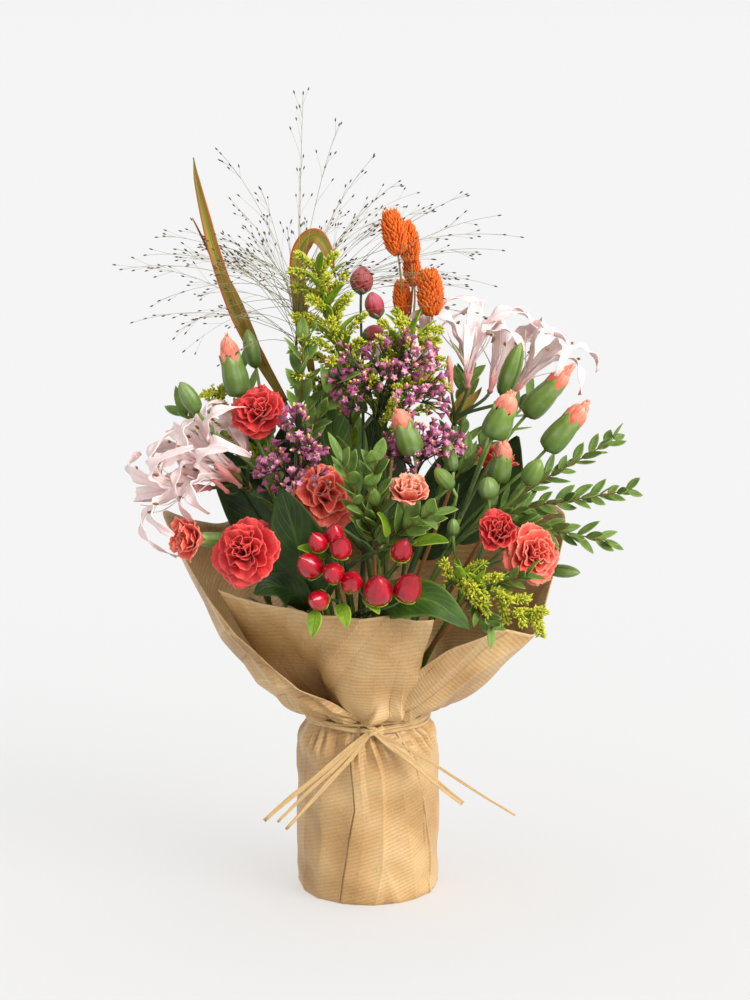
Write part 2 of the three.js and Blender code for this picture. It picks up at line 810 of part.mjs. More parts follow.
// A narrow leaf from a stem, tried at a few turns until it clears its neighbours.
function narrowLeaf(plant, curve, { from, direction, length, width = 5 }) {
  const root = along(curve, from).point;
  const ways = [0, 0.3, -0.3, 0.6, -0.6, 0.9, -0.9].map((turn) => () => {
    const aim = at(direction).normalize().applyAxisAngle(UP, turn);
    return lens(NARROW_OUTLINE, leafSurface(root, aim, UP, { length, width, bow: 0.2 }), [0, 0.4], 1.1);
  });
  plant.offer(...ways);
}

// ---- Nerine: loose umbels of narrow petals that roll back ----

const NERINES = [
  {
    name: "nerine_left",
    fork: [-70, -8, 250],
    lean: [-0.75, -0.15, 0.6],
    spathe: { root: [-70, -9, 251], tip: [-97, -6, 276] },
    florets: [
      { base: [-78, -22, 266], axis: [-0.7, -0.45, 0.55], length: 40, turn: 0 },
      { base: [-95, -27, 256], axis: [-0.9, -0.35, 0.05], length: 41, turn: 0.5 },
      { base: [-84, -10, 262], axis: [-0.75, 0.35, 0.55], length: 38, turn: 0.3 },
      { base: [-72, -12, 272], axis: [-0.15, -0.2, 0.95], length: 26, turn: 0.2 },
    ],
    buds: [
      { foot: [-84, -34, 256], tip: [-104, -42, 277] },
      { foot: [-76, -34, 259], tip: [-90, -44, 275] },
    ],
  },
  {
    name: "nerine_right",
    fork: [52, 14, 286],
    lean: [0.1, -0.1, 1],
    spathe: { root: [52, 14, 287], tip: [66, 20, 310] },
    florets: [
      { base: [39, 6, 314], axis: [-0.35, -0.2, 0.9], length: 40, turn: 0.2 },
      { base: [60, 8, 312], axis: [0.05, -0.1, 1], length: 42, turn: 0 },
      { base: [74, 14, 308], axis: [0.3, 0.3, 0.9], length: 40, turn: 0.4 },
      { base: [88, 12, 306], axis: [0.55, 0, 0.8], length: 42, turn: 0.1 },
    ],
    buds: [{ foot: [50, -2, 310], tip: [48, -4, 332] }],
  },
];
const NERINE_PETALS = 6;
const NERINE_STAMENS = 1;

const funnel = ({ base, axis, length }) =>
  turned(axesAt(at(base), at(axis)), [[1.5, 0], [3, 0.24 * length]], 5);

// One floret: a short funnel, six petals that arch out and roll back, and a stamen.
function nerineFloret(plant, floret) {
  const { base, axis, length, turn } = floret;
  const facing = at(axis).normalize();
  const root = at(base);
  plant.add(funnel(floret));
  for (let k = 0; k < NERINE_PETALS; k += 1) {
    const petal = (spin) => () => {
      const azimuth = turn + spin + (2 * Math.PI * k) / NERINE_PETALS;
      const out = leaning(facing, azimuth, Math.PI / 2);
      const path = [0.06, 0.45, 0.8, 1].map((s) =>
        root
          .clone()
          .addScaledVector(facing, length * (0.78 * s - 0.42 * s ** 4))
          .addScaledVector(out, length * (0.5 * s + 0.12 * s ** 3)),
      );
      return band(path, [0, 5.8, 5.8, 0], facing, { thick: 1, wave: 0.5 });
    };
    plant.offer(...[0, 0.3, -0.3, 0.6, -0.6].map(petal));
  }
  for (let k = 0; k < NERINE_STAMENS; k += 1) {
    const stamen = (spin) => () => {
      const azimuth = turn + spin + 0.5 + (2 * Math.PI * k) / NERINE_STAMENS;
      const aim = leaning(facing, azimuth, 0.35);
      const start = root.clone().addScaledVector(facing, 0.12 * length);
      return bar([start, root.clone().addScaledVector(aim, length)], [0.5, 0.5], 3);
    };
    plant.offer(...[0, 0.5, -0.5].map(stamen));
  }
}

function nerine(umbel) {
  const flowers = new Plant(`${umbel.name}_flowers`, COLOURS.nerine, 0.4);
  const green = new Plant(`${umbel.name}_stem`, COLOURS.stem, 0.45);
  for (const floret of umbel.florets) flowers.reserve(funnel(floret));
  for (const { foot, tip } of umbel.buds) {
    const frame = axesAt(at(foot), at(tip).sub(at(foot)));
    const length = at(foot).distanceTo(at(tip));
    flowers.add(turned(frame, [[1.2, 0], [2.2, 0.5 * length], [0, length]], 5));
  }
  const growStem = () => {
    const curve = mainStem(green, umbel.fork, { radius: 2.2, lean: umbel.lean });
    const hub = curve.at(-1);
    for (const { base, axis } of umbel.florets) {
      const facing = at(axis).normalize();
      stalk(green, curve, 1, at(base).addScaledVector(facing, -2 * GAP), facing, 1);
    }
    for (const { foot, tip } of umbel.buds) {
      const facing = at(tip).sub(at(foot)).normalize();
      stalk(green, curve, 1, at(foot).addScaledVector(facing, -2 * GAP), facing, 0.8);
    }
    const { root, tip } = umbel.spathe;
    const path = bend(at(root), at(umbel.lean), at(tip), at(tip).sub(hub), 3);
    green.offer(() => band(path, [2.5, 5.5, 3.5, 0], vec(0, -1, 0.2), { thick: 1 }));
    green.finish();
  };
  const growFlowers = () => {
    for (const floret of umbel.florets) nerineFloret(flowers, floret);
    flowers.finish();
  };
  return [growStem, growFlowers];
}

// ---- Phalaris: orange heads of pointed scales on fine stalks ----

const PHALARIS_HUB = [17, 10, 298];
const PHALARIS_HEADS = [
  { foot: [18, -5, 390], tip: [13, -6, 420], width: 13 },
  { foot: [26, 10, 386], tip: [23, 11, 413], width: 13 },
  { foot: [29, 22, 370], tip: [27, 23, 393], width: 11 },
  { foot: [21, 6, 354], tip: [20, 7, 377], width: 10.5 },
  { foot: [38, -6, 353], tip: [36, -8, 384], width: 17 },
];
const PHALARIS_ROWS = [0.75, 1.02, 1.04, 0.92, 0.6]; // the head's swell, from foot to tip
const GOLDEN_ANGLE = Math.PI * (3 - Math.sqrt(5));

// A head whose scales stand out as relief: every other corner of a row is drawn in, and the rows alternate.
function phalaris() {
  const plant = new Plant("phalaris_heads", COLOURS.phalaris, 0.8);
  for (const { foot, tip, width } of PHALARIS_HEADS) {
    const facing = at(tip).sub(at(foot));
    const length = facing.length();
    const frame = axesAt(at(foot), facing);
    const rows = PHALARIS_ROWS.map((swell, row) =>
      Array.from({ length: 6 }, (_, k) => {
        const angle = (Math.PI * k) / 3;
        const out = (k + row) % 2;
        const r = (width / 2) * swell * (out ? 1 : 0.62);
        const height = length * ((row + 0.15) / PHALARIS_ROWS.length + (out ? 0.05 : 0));
        return frame.point(r * Math.cos(angle), r * Math.sin(angle), height);
      }),
    );
    plant.add(loft([[frame.point(0, 0, 0)], ...rows, [frame.point(0, 0, length)]]));
  }
  return () => {
    const curve = mainStem(plant, PHALARIS_HUB, { radius: 1.3, lean: [0.05, 0, 1] });
    for (const { foot, tip } of PHALARIS_HEADS) {
      const facing = at(tip).sub(at(foot)).normalize();
      stalk(plant, curve, 1, at(foot).addScaledVector(facing, 1), facing, 0.7);
    }
    plant.finish();
  };
}

// ---- Panicum: a cloud of hair-fine branches with a seed at each tip ----

const PANICUM = {
  fork: [-43, 10, 335],
  crown: [-40, 6, 392],
  reach: { left: 110, right: 134, back: 84, front: 66, up: 98, down: 44 },
  branches: 20,
  strand: 0.42, // radius
};

function panicum() {
  const plant = new Plant("panicum_grass", COLOURS.straw, 0.7);
  const random = seeded(7);
  const { reach, strand } = PANICUM;
  const curve = mainStem(plant, PANICUM.fork, { radius: 1.2, lean: [0, 0, 1] });
  const crown = at(PANICUM.crown);
  plant.add(bar([curve.at(-1), crown], [0.9, 0.6], 3));
  for (let k = 0; k < PANICUM.branches; k += 1) {
    const rise = lerp(-0.3, 1, (k + 0.5) / PANICUM.branches);
    const azimuth = k * GOLDEN_ANGLE;
    const flat = Math.sqrt(1 - rise * rise);
    const aim = [flat * Math.cos(azimuth), flat * Math.sin(azimuth), rise];
    const size = [
      aim[0] < 0 ? reach.left : reach.right,
      aim[1] < 0 ? reach.front : reach.back,
      aim[2] < 0 ? reach.down : reach.up,
    ];
    const share = 0.82 + 0.18 * random();
    const tip = at(aim.map((value, i) => value * size[i] * share)).add(crown);
    const root = curve.at(-1).clone().lerp(crown, 0.15 + 0.8 * random());
    const middle = root.clone().lerp(tip, 0.5).add(vec(0, 0, 7));
    const seed = middle.clone().lerp(tip, 0.96);
    plant.offer(() => bar([root, middle, seed, tip], [strand, strand, 0.9, 0], 3));
  }
  plant.finish();
}

// ---- Strap leaves: one long and upright, one folded over ----

const STRAP_LEAVES = [
  {
    name: "strap_leaf_tall",
    stem: [-50, 16, 300],
    path: [
      [-50, 16, 300],
      [-66, 17, 328],
      [-79, 17, 354],
      [-90, 18, 385],
      [-97, 19, 412],
      [-102, 20, 434],
      [-104, 22, 447],
    ],
    widths: [4, 7.5, 8.5, 8.5, 7, 4.5, 0],
  },
  {
    name: "strap_leaf_folded",
    stem: [-34, 20, 318],
    path: [
      [-34, 20, 318],
      [-40, 19, 352],
      [-42, 17, 384],
      [-37, 14, 398],
      [-30, 11, 401],
      [-24, 8, 393],
      [-19, 6, 377],
    ],
    widths: [4, 8.5, 9.5, 9.5, 9, 6.5, 0],
  },
];

function strapLeaf({ name, stem, path, widths }) {
  const plant = new Plant(name, COLOURS.strap, 0.5);
  const points = path.map(at);
  plant.add(band(points, widths, vec(0, -1, 0.15), { thick: 1.2, fold: 0.3 }));
  return () => {
    mainStem(plant, stem, { radius: 1.4, lean: points[1].clone().sub(points[0]).toArray() });
    plant.finish();
  };
}

// ---- Goldenrod: arching plumes of small florets ----

const GOLDENRODS = [
  { name: "goldenrod_top", fork: [-10, -13, 292], tip: [-27, -14, 386], plumes: 8, length: 27 },
  { name: "goldenrod_centre", fork: [10, -20, 282], tip: [30, -16, 350], plumes: 6, length: 26 },
  { name: "goldenrod_low_right", fork: [46, -64, 203], tip: [100, -76, 188], plumes: 7, length: 20 },
  { name: "goldenrod_left", fork: [-62, -2, 262], tip: [-92, -8, 308], plumes: 5, length: 16 },
];

const PLUME_BEADS = [0.6, 0.6, 2.4, 0.8, 2.5, 0]; // radii along a plume, a bead for each floret

function goldenrod({ name, fork, tip, plumes, length }, index) {
  const plant = new Plant(name, COLOURS.goldenrod, 0.8);
  const random = seeded(90 + index);
  const curve = mainStem(plant, fork, { radius: 1.5 });
  const spine = bend(at(fork), along(curve, 1).direction, at(tip), at(tip).sub(at(fork)), 3);
  plant.add(bar(spine, [1.1, 0.9, 0.8, 0.6], 4));
  for (let k = 0; k < plumes; k += 1) {
    const share = (k + 0.5) / plumes;
    const { point: root, direction } = along(spine, share);
    const size = length * (1 - 0.55 * share) * (0.85 + 0.3 * random());
    const plume = (spin) => () => {
      const aim = leaning(direction, k * GOLDEN_ANGLE + spin, 0.9);
      const middle = root.clone().addScaledVector(aim, 0.5 * size).add(vec(0, 0, 0.1 * size));
      const end = root.clone().addScaledVector(aim, size).add(vec(0, 0, -0.02 * size));
      const line = new THREE.QuadraticBezierCurve3(root, middle, end).getPoints(PLUME_BEADS.length - 1);
      return bar(line, PLUME_BEADS, 3);
    };
    plant.offer(...[0, 0.7, -0.7, 1.6, -1.6].map(plume));
  }
  plant.finish();
}

// ---- Limonium: forking wiry stems that carry tufts of small papery flowers ----

const LIMONIUMS = [
  { name: "limonium_centre", fork: [2, -30, 282], heart: [12, -38, 320], spread: [32, 15, 22], tufts: 10 },
  { name: "limonium_low", fork: [28, -40, 262], heart: [30, -50, 284], spread: [20, 10, 11], tufts: 8 },
  { name: "limonium_left", fork: [-46, -22, 258], heart: [-45, -55, 284], spread: [18, 14, 17], tufts: 7 },
];

// Each tuft is a wiry stalk that flares into a small trumpet of petals.
function limonium({ name, fork, heart, spread, tufts }, index) {
  const plant = new Plant(name, COLOURS.limonium, 0.75);
  const random = seeded(200 + index);
  const curve = mainStem(plant, fork, { radius: 1.3 });
  for (let k = 0; k < tufts; k += 1) {
    const tuft = (spin) => () => {
      const azimuth = k * GOLDEN_ANGLE + spin;
      const out = Math.sqrt((k + 0.6) / tufts);
      const rise = 0.8 - out * out + 0.7 * (random() - 0.5);
      const offset = vec(out * Math.cos(azimuth), out * Math.sin(azimuth), rise).multiply(at(spread));
      const end = at(heart).add(offset);
      const lean = offset.clone().setZ(14).normalize();
      const root = along(curve, 1 - (0.45 * k) / tufts);
      const middle = bend(root.point, root.direction, end, lean, 2, 0.3)[1];
      const trumpet = [0, 6, 7.5].map((height) => end.clone().addScaledVector(lean, height));
      return bar([root.point, middle, ...trumpet], [0.6, 0.6, 0.6, 3.6, 0], 3);
    };
    plant.offer(...[0, 0.5, -0.5, 1.2, -1.2, 2, -2, 3].map(tuft));
  }
  plant.finish();
}

// ---- Hypericum: glossy berries on lime-green collars ----

const HYPERICUM_FORK = [-13, -62, 210];
const BERRIES = [
  { centre: [-19, -84, 241], width: 12, axis: [0, -0.5, 0.9] },
  { centre: [-29, -89, 238], width: 11, axis: [-0.4, -0.6, 0.8] },
  { centre: [-15, -94, 236], width: 12.5, axis: [0.1, -0.7, 0.8] },
  { centre: [-34, -88, 224], width: 15, axis: [-0.5, -0.7, 0.6] },
  { centre: [-20, -95, 221], width: 12.5, axis: [-0.2, -0.9, 0.5] },
  { centre: [-9, -93, 215], width: 13, axis: [0.1, -0.9, 0.4] },
  { centre: [-29, -93, 204], width: 12, axis: [-0.4, -0.9, 0.2] },
  { centre: [6, -94, 211], width: 17, axis: [0, -0.6, 0.8] },
  { centre: [24, -92, 212], width: 16.5, axis: [0.3, -0.6, 0.8] },
  { centre: [20, -88, 233], width: 12.5, axis: [0.3, -0.5, 0.9] },
];
const HYPERICUM_LEAVES = [
  { root: [-30, -86, 196], direction: [-0.1, -0.5, -0.6], length: 13, width: 9 },
  { root: [-16, -86, 200], direction: [0.2, -0.6, -0.4], length: 15, width: 9 },
  { root: [26, -80, 234], direction: [0.9, -0.4, 0.3], length: 24, width: 10 },
  { root: [12, -78, 238], direction: [-0.3, -0.4, 0.9], length: 22, width: 10 },
];

function hypericum() {
  const plant = new Plant("hypericum_berries", COLOURS.hypericum, 0.15);
  const heads = BERRIES.map(({ centre, width, axis }) => {
    const facing = at(axis).normalize();
    const r = width / 2;
    const frame = axesAt(at(centre).addScaledVector(facing, -1.05 * r), facing);
    const profile = [[0.8, -3], [0.9 * r, 0.5 * r], [0.85 * r, 1.6 * r], [0, 2.3 * r]];
    plant.reserve(turned(frame, profile, 5));
    return { frame, profile };
  });
  return () => {
    const curve = mainStem(plant, HYPERICUM_FORK, { radius: 1.8 });
    heads.forEach((head, k) => stalkedHead(plant, curve, 1 - 0.05 * k, head, { radius: 0.8, steps: 1 }));
    for (const { root, direction, length, width } of HYPERICUM_LEAVES) {
      const blade = leafSurface(at(root), at(direction), UP, { length, width, bow: 0.1 });
      const stem = [curve.at(-1), at(root), blade(0, 0.2)];
      plant.offer(() => Manifold.union([bar(stem, 0.7, 3), lens(NARROW_OUTLINE, blade, [0, 0.4], 1)]));
    }
    plant.finish();
  };
}

// ---- Crimson buds: small tight buds on one forked stem ----

const CRIMSON_FORK = [-3, -3, 318];
const CRIMSON_BUDS = [
  { foot: [-27, 2, 364], tip: [-24, -1, 377], width: 12, from: 1 },
  { foot: [-4, 7, 368], tip: [-3, 4, 384], width: 14, from: 1 },
  { foot: [6, -4, 355], tip: [2, -7, 370], width: 11.5, from: 0.95 },
  { foot: [-2, -7, 344], tip: [9, -10, 349], width: 9, from: 0.9 },
  { foot: [30, -13, 310], tip: [36, -17, 321], width: 11, from: 0.7 },
];

function crimsonBuds() {
  const plant = new Plant("crimson_buds", COLOURS.crimson, 0.5);
  const heads = CRIMSON_BUDS.map(({ foot, tip, width, from }) => {
    const facing = at(tip).sub(at(foot));
    const length = facing.length();
    const r = width / 2;
    const profile = [[0.8, 0], [0.85 * r, 0.2 * length], [0.9 * r, 0.65 * length], [0, length]];
    const frame = axesAt(at(foot), facing);
    plant.reserve(turned(frame, profile, 5));
    return { frame, profile, from };
  });
  return () => {
    const curve = mainStem(plant, CRIMSON_FORK, { radius: 1.3 });
    for (const head of heads) stalkedHead(plant, curve, head.from, head, { radius: 0.8, sides: 4 });
    for (const direction of [[-0.8, -0.4, 0.6], [0.8, -0.2, 0.7], [-0.2, 0.8, 0.7]])
      narrowLeaf(plant, curve, { from: 0.95, direction, length: 24, width: 8 });
    plant.finish();
  };
}

// ---- Broad leaves: front ones over the paper's lip, back ones behind the blooms ----

const BROAD_LEAVES = [
  {
    name: "broad_leaf_front_left",
    path: [[-33, -54, 190], [-38, -65, 212], [-43, -73, 238], [-50, -75, 264]],
    width: 32,
    face: [-0.2, -0.95, 0.25],
  },
  {
    name: "broad_leaf_front_low",
    path: [[4, -58, 189], [18, -75, 200], [38, -84, 201], [60, -89, 186]],
    width: 24,
    face: [0.15, -0.9, 0.4],
  },
  {
    name: "broad_leaf_left_low",
    path: [[-37, -54, 188], [-44, -67, 202], [-55, -76, 208], [-66, -81, 205]],
    width: 20,
    face: [-0.3, -0.8, 0.5],
  },
  {
    name: "broad_leaf_back_left",
    path: [[-30, 42, 196], [-38, 55, 220], [-48, 64, 246], [-54, 66, 274]],
    width: 42,
    face: [-0.4, 0.9, 0.2],
  },
  {
    name: "broad_leaf_back_high",
    path: [[-16, 30, 232], [-19, 42, 258], [-22, 52, 286], [-22, 54, 314]],
    width: 40,
    face: [-0.1, 1, 0.3],
  },
  {
    name: "broad_leaf_back_far_right",
    path: [[54, 26, 210], [68, 34, 228], [82, 40, 250], [92, 40, 274]],
    width: 36,
    face: [0.7, 0.7, 0.2],
  },
  {
    name: "broad_leaf_back_far_left",
    path: [[-50, 24, 208], [-66, 28, 226], [-80, 29, 248], [-92, 26, 268]],
    width: 36,
    face: [-0.7, 0.7, 0.2],
  },
  {
    name: "broad_leaf_back",
    path: [[2, 48, 198], [4, 63, 222], [6, 76, 250], [4, 78, 280]],
    width: 42,
    face: [0, 1, 0.2],
  },
  {
    name: "broad_leaf_back_right",
    path: [[34, 40, 196], [44, 53, 220], [54, 62, 246], [62, 64, 270]],
    width: 40,
    face: [0.4, 0.9, 0.2],
  },
];

function broadLeaf({ name, path, width, face }) {
  const plant = new Plant(name, COLOURS.broadleaf, 0.35);
  const line = new THREE.CatmullRomCurve3(path.map(at)).getPoints(5);
  const shares = [0.06, 0.75, 1, 0.95, 0.6, 0];
  const widths = shares.map((share) => share * width);
  plant.add(band(line, widths, at(face), { thick: 1.4, fold: 0.16, wave: 0.7 }));
  return () => {
    mainStem(plant, path[0], { radius: 1.4, lean: line[1].clone().sub(line[0]).toArray(), tip: 0.6 });
    plant.finish();
  };
}

// ---- Eucalyptus: twigs with small leaves in opposite pairs ----

const EUCALYPTS = [
  {
    name: "eucalyptus_right",
    fork: [72, -34, 236],
    twigs: [
      { tip: [153, -42, 258], pairs: 4, leave: [0.8, -0.1, 0.5] },
      { tip: [146, -26, 286], pairs: 3, leave: [0.7, 0.1, 0.8] },
      { tip: [140, -52, 230], pairs: 3, leave: [0.9, -0.2, 0.1] },
    ],
  },
  {
    name: "eucalyptus_upper_left",
    fork: [-40, -28, 276],
    twigs: [
      { tip: [-38, -30, 342], pairs: 4, leave: [0, 0, 1] },
      { tip: [-18, -36, 322], pairs: 3, leave: [0.3, -0.1, 0.8] },
    ],
  },
  {
    name: "eucalyptus_front",
    fork: [4, -58, 226],
    twigs: [
      { tip: [-14, -84, 282], pairs: 3, leave: [-0.1, -0.5, 0.9] },
      { tip: [4, -82, 284], pairs: 2, leave: [0.1, -0.4, 0.9] },
      { tip: [37, -90, 255], pairs: 3, leave: [0.6, -0.6, 0.6] },
    ],
  },
  {
    name: "eucalyptus_low_right",
    fork: [58, -54, 194],
    twigs: [
      { tip: [93, -72, 214], pairs: 3, leave: [0.7, -0.2, 0.8] },
      { tip: [72, -86, 186], pairs: 2, leave: [0.4, -0.8, 0.1] },
    ],
  },
  {
    name: "eucalyptus_back_left",
    fork: [-52, 34, 240],
    twigs: [
      { tip: [-112, 48, 286], pairs: 3, leave: [-0.7, 0.2, 0.6] },
      { tip: [-78, 62, 312], pairs: 3, leave: [-0.4, 0.4, 0.8] },
    ],
  },
  {
    name: "eucalyptus_back_right",
    fork: [52, 40, 246],
    twigs: [
      { tip: [100, 66, 292], pairs: 3, leave: [0.6, 0.3, 0.7] },
      { tip: [64, 80, 322], pairs: 3, leave: [0.2, 0.5, 0.9] },
    ],
  },
];

// A small leaf from a point on a twig, out on one side and a little up along the twig.
function smallLeaf(root, direction, azimuth, length, width) {
  const across = leaning(direction, azimuth, Math.PI / 2);
  const place = (s) =>
    root
      .clone()
      .addScaledVector(across, 0.85 * length * s)
      .addScaledVector(direction, length * (0.62 * s - 0.2 * s * s));
  return band([0, 0.5, 1].map(place), [0, width, 0], direction, { thick: LEAF, fold: 0.1 });
}

function eucalyptus({ name, fork, twigs }) {
  const plant = new Plant(name, COLOURS.eucalyptus, 0.55);
  const curve = mainStem(plant, fork, { radius: 1.5 });
  for (const { tip, pairs, leave } of twigs) {
    const line = bend(curve.at(-1), at(leave), at(tip), at(tip).sub(at(fork)), 3);
    plant.add(bar(line, [0.9, 0.8, 0.7, 0], 3));
    for (let k = 0; k < pairs; k += 1) {
      const { point, direction } = along(line, (0.95 * (k + 0.8)) / pairs);
      const length = lerp(18, 12, k / pairs);
      for (const side of [0, Math.PI]) {
        const leaf = (spin) => () =>
          smallLeaf(point, direction, side + (k * Math.PI) / 2 + spin, length, 6.8);
        plant.offer(...[0.4, 0.9, -0.1, 1.4, 1.9].map(leaf));
      }
    }
  }
  plant.finish();
}

// ---- Build: heads first, then what grows round them ----

const nerines = NERINES.map(nerine);
const growing = [
  ...CARNATION_SPRAYS.map(carnationSpray),
  ...nerines.map(([growStem]) => growStem),
  phalaris(),
  hypericum(),
  crimsonBuds(),
  ...STRAP_LEAVES.map(strapLeaf),
  ...BROAD_LEAVES.map(broadLeaf),
];
kraftPaper();
raffia();
for (const grow of growing) grow();
for (const [, growFlowers] of nerines) growFlowers();
EUCALYPTS.forEach(eucalyptus);
GOLDENRODS.forEach(goldenrod);
LIMONIUMS.forEach(limonium);
panicum();
waterPack();

export default bouquet;
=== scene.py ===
"""Dresses a hand-tied mixed bouquet: kraft paper, raffia, blooms, buds, berries, grasses and leaves.

Lengths are millimetres until a piece is made. The axes are the frame's: +Z up, +Y away from the viewer.
"""

import logging
import math
from dataclasses import astuple, dataclass, field
from enum import Enum
from functools import partialmethod
from typing import Sequence

import bpy
import numpy as np
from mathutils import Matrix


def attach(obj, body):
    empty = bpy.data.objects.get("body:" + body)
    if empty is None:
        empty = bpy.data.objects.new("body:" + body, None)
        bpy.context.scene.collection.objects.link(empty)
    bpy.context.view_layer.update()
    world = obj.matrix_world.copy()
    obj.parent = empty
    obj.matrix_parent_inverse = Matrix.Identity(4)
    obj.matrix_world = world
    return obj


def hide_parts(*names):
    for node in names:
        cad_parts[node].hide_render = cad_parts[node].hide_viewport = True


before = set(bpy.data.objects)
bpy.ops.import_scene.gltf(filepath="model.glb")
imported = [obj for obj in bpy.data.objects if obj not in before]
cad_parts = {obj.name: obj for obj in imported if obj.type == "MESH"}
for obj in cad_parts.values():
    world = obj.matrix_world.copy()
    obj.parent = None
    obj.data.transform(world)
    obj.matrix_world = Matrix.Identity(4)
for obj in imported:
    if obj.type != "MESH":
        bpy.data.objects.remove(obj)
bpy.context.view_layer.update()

log = logging.getLogger("bouquet")
Array = np.ndarray
Point = tuple[float, float, float]
Colour = tuple[float, float, float]  # parts out of 255, as a screen shows them
Socket = bpy.types.NodeSocket
Material = bpy.types.Material
Object = bpy.types.Object

MM = 0.001  # metres in a millimetre
UP = np.array([0.0, 0.0, 1.0])
TURN = 2 * math.pi
QUARTER = math.pi / 2
GOLDEN_ANGLE = math.pi * (3 - math.sqrt(5))
GRAIN = "grain"  # the vertex attribute that finishes read: across, along, and a draw for each part
STEM_FOOT = 14.0  # where a stem's cut end stands in the water pack
STEM_NECK = 118.0  # above the water pack, where stems start to fan out
SPREAD_PER_SLOT = 0.006  # how far a stem leans at the tie, for each millimetre that it stands out


# ---- Vectors and curves ----


def unit(vectors: Array) -> Array:
    """Vectors scaled to length one."""
    return vectors / np.maximum(np.linalg.norm(vectors, axis=-1, keepdims=True), 1e-9)


def at(*rows: Sequence[float]) -> Array:
    """One point or several as an array of floats."""
    return np.array(rows[0] if len(rows) == 1 else rows, float)


def blend(a: Array | float, b: Array | float, share: Array | float) -> Array | float:
    """The straight mix of a and b."""
    return a + (b - a) * share


def smooth(low: float, high: float, value: Array) -> Array:
    """A rise from 0 to 1 between two values, level at both ends."""
    t = np.clip((value - low) / (high - low), 0, 1)
    return t * t * (3 - 2 * t)


def lengthwise(rows: int, first: float = 0.0) -> Array:
    """Shares of the way from foot to tip, shaped to fit (parts, rows, columns)."""
    return np.linspace(first, 1, rows)[None, :, None]


def crosswise(columns: int) -> Array:
    """Places from -1 to 1 across, shaped to fit (parts, rows, columns)."""
    return np.linspace(-1, 1, columns)[None, None, :]


def circle(count: int) -> Array:
    """Angles evenly spaced round a turn."""
    return TURN * np.arange(count) / count


def aim(foot: Sequence[float], tip: Sequence[float]) -> tuple[Array, float]:
    """The direction from one point to another, and how far it is."""
    way = at(tip) - at(foot)
    return unit(way), float(np.linalg.norm(way))


def axes_for(directions: Array, turns: Array | float = 0.0, hint: Array = UP) -> Array:
    """Right-handed frames whose third row is a direction and whose first lies level where it can.

    Args:
        directions: (k, 3) or (3,) directions.
        turns: angles by which each frame is turned round its direction.
        hint: what the first row is square to.

    Returns:
        (k, 3, 3) frames of rows u, v, w.
    """
    w = unit(np.atleast_2d(np.asarray(directions, float)))
    level = np.cross(w, hint)
    spare = np.cross(w, (0.0, 1.0, 0.1))
    flat = np.linalg.norm(level, axis=-1, keepdims=True) < 1e-2
    side = unit(np.where(flat, spare, level))
    other = np.cross(w, side)
    angle = np.broadcast_to(np.asarray(turns, float), w.shape[:1])[:, None]
    return np.stack(
        [side * np.cos(angle) + other * np.sin(angle), other * np.cos(angle) - side * np.sin(angle), w],
        axis=1,
    )


def leaning(axis: Array, azimuth: Array, tilt: Array | float) -> Array:
    """Directions that lean away from an axis: cosine of the tilt along it, sine of it towards the azimuth.

    Args:
        axis: the direction that they lean away from.
        azimuth: angles round it, in radians.
        tilt: how far each leans, in radians.

    Returns:
        One unit vector for each azimuth.
    """
    u, v, w = axes_for(axis)[0]
    azimuth, tilt = np.broadcast_arrays(np.asarray(azimuth, float), np.asarray(tilt, float))
    azimuth, tilt = azimuth[..., None], tilt[..., None]
    return np.sin(tilt) * (np.cos(azimuth) * u + np.sin(azimuth) * v) + np.cos(tilt) * w


def bend(a: Array, leave: Array, b: Array, arrive: Array, steps: int, reach: float = 0.36) -> Array:
    """A cubic curve that leaves a along one direction and reaches b along another.

    Both handles are as long as the reach times the distance. Leading axes of the points are kept.

    Args:
        a, b: (..., 3) end points.
        leave, arrive: (..., 3) directions at the ends.
        steps: spans along the curve.
        reach: length of a handle as a share of the distance.

    Returns:
        (..., steps + 1, 3) points.
    """
    a, b = np.asarray(a, float), np.asarray(b, float)
    pull = np.linalg.norm(b - a, axis=-1, keepdims=True) * reach
    first, last = a + unit(np.asarray(leave, float)) * pull, b - unit(np.asarray(arrive, float)) * pull
    t = np.linspace(0, 1, steps + 1)[:, None]
    a, b, first, last = (p[..., None, :] for p in (a, b, first, last))
    return (1 - t) ** 3 * a + 3 * (1 - t) ** 2 * t * first + 3 * (1 - t) * t * t * last + t**3 * b


def arch(a: Array, b: Array, c: Array, steps: int) -> Array:
    """A quadratic curve from a to c, pulled towards b. Leading axes of the points are kept.

    Args:
        a: where it starts.
        b: what it is pulled towards.
        c: where it ends.
        steps: spans along the curve.

    Returns:
        (..., steps + 1, 3) points.
    """
    t = np.linspace(0, 1, steps + 1)[:, None]
    a, b, c = (np.asarray(p, float)[..., None, :] for p in (a, b, c))
    return (1 - t) ** 2 * a + 2 * t * (1 - t) * b + t**2 * c


def through(points: Array, steps: int) -> Array:
    """A Catmull-Rom curve through points: each span is the cubic whose end slopes join the neighbours.

    Args:
        points: what it passes, in order.
        steps: spans along the whole curve.

    Returns:
        (steps + 1, 3) points.
    """
    points = np.asarray(points, float)
    padded = np.concatenate([2 * points[:1] - points[1:2], points, 2 * points[-1:] - points[-2:-1]])
    place = np.linspace(0, len(points) - 1, steps + 1)
    i = np.minimum(place.astype(int), len(points) - 2)
    t = (place - i)[:, None]
    p0, p1, p2, p3 = (padded[i + k] for k in range(4))
    return 0.5 * (
        2 * p1 + (p2 - p0) * t + (2 * p0 - 5 * p1 + 4 * p2 - p3) * t**2 + (3 * p1 - p0 - 3 * p2 + p3) * t**3
    )


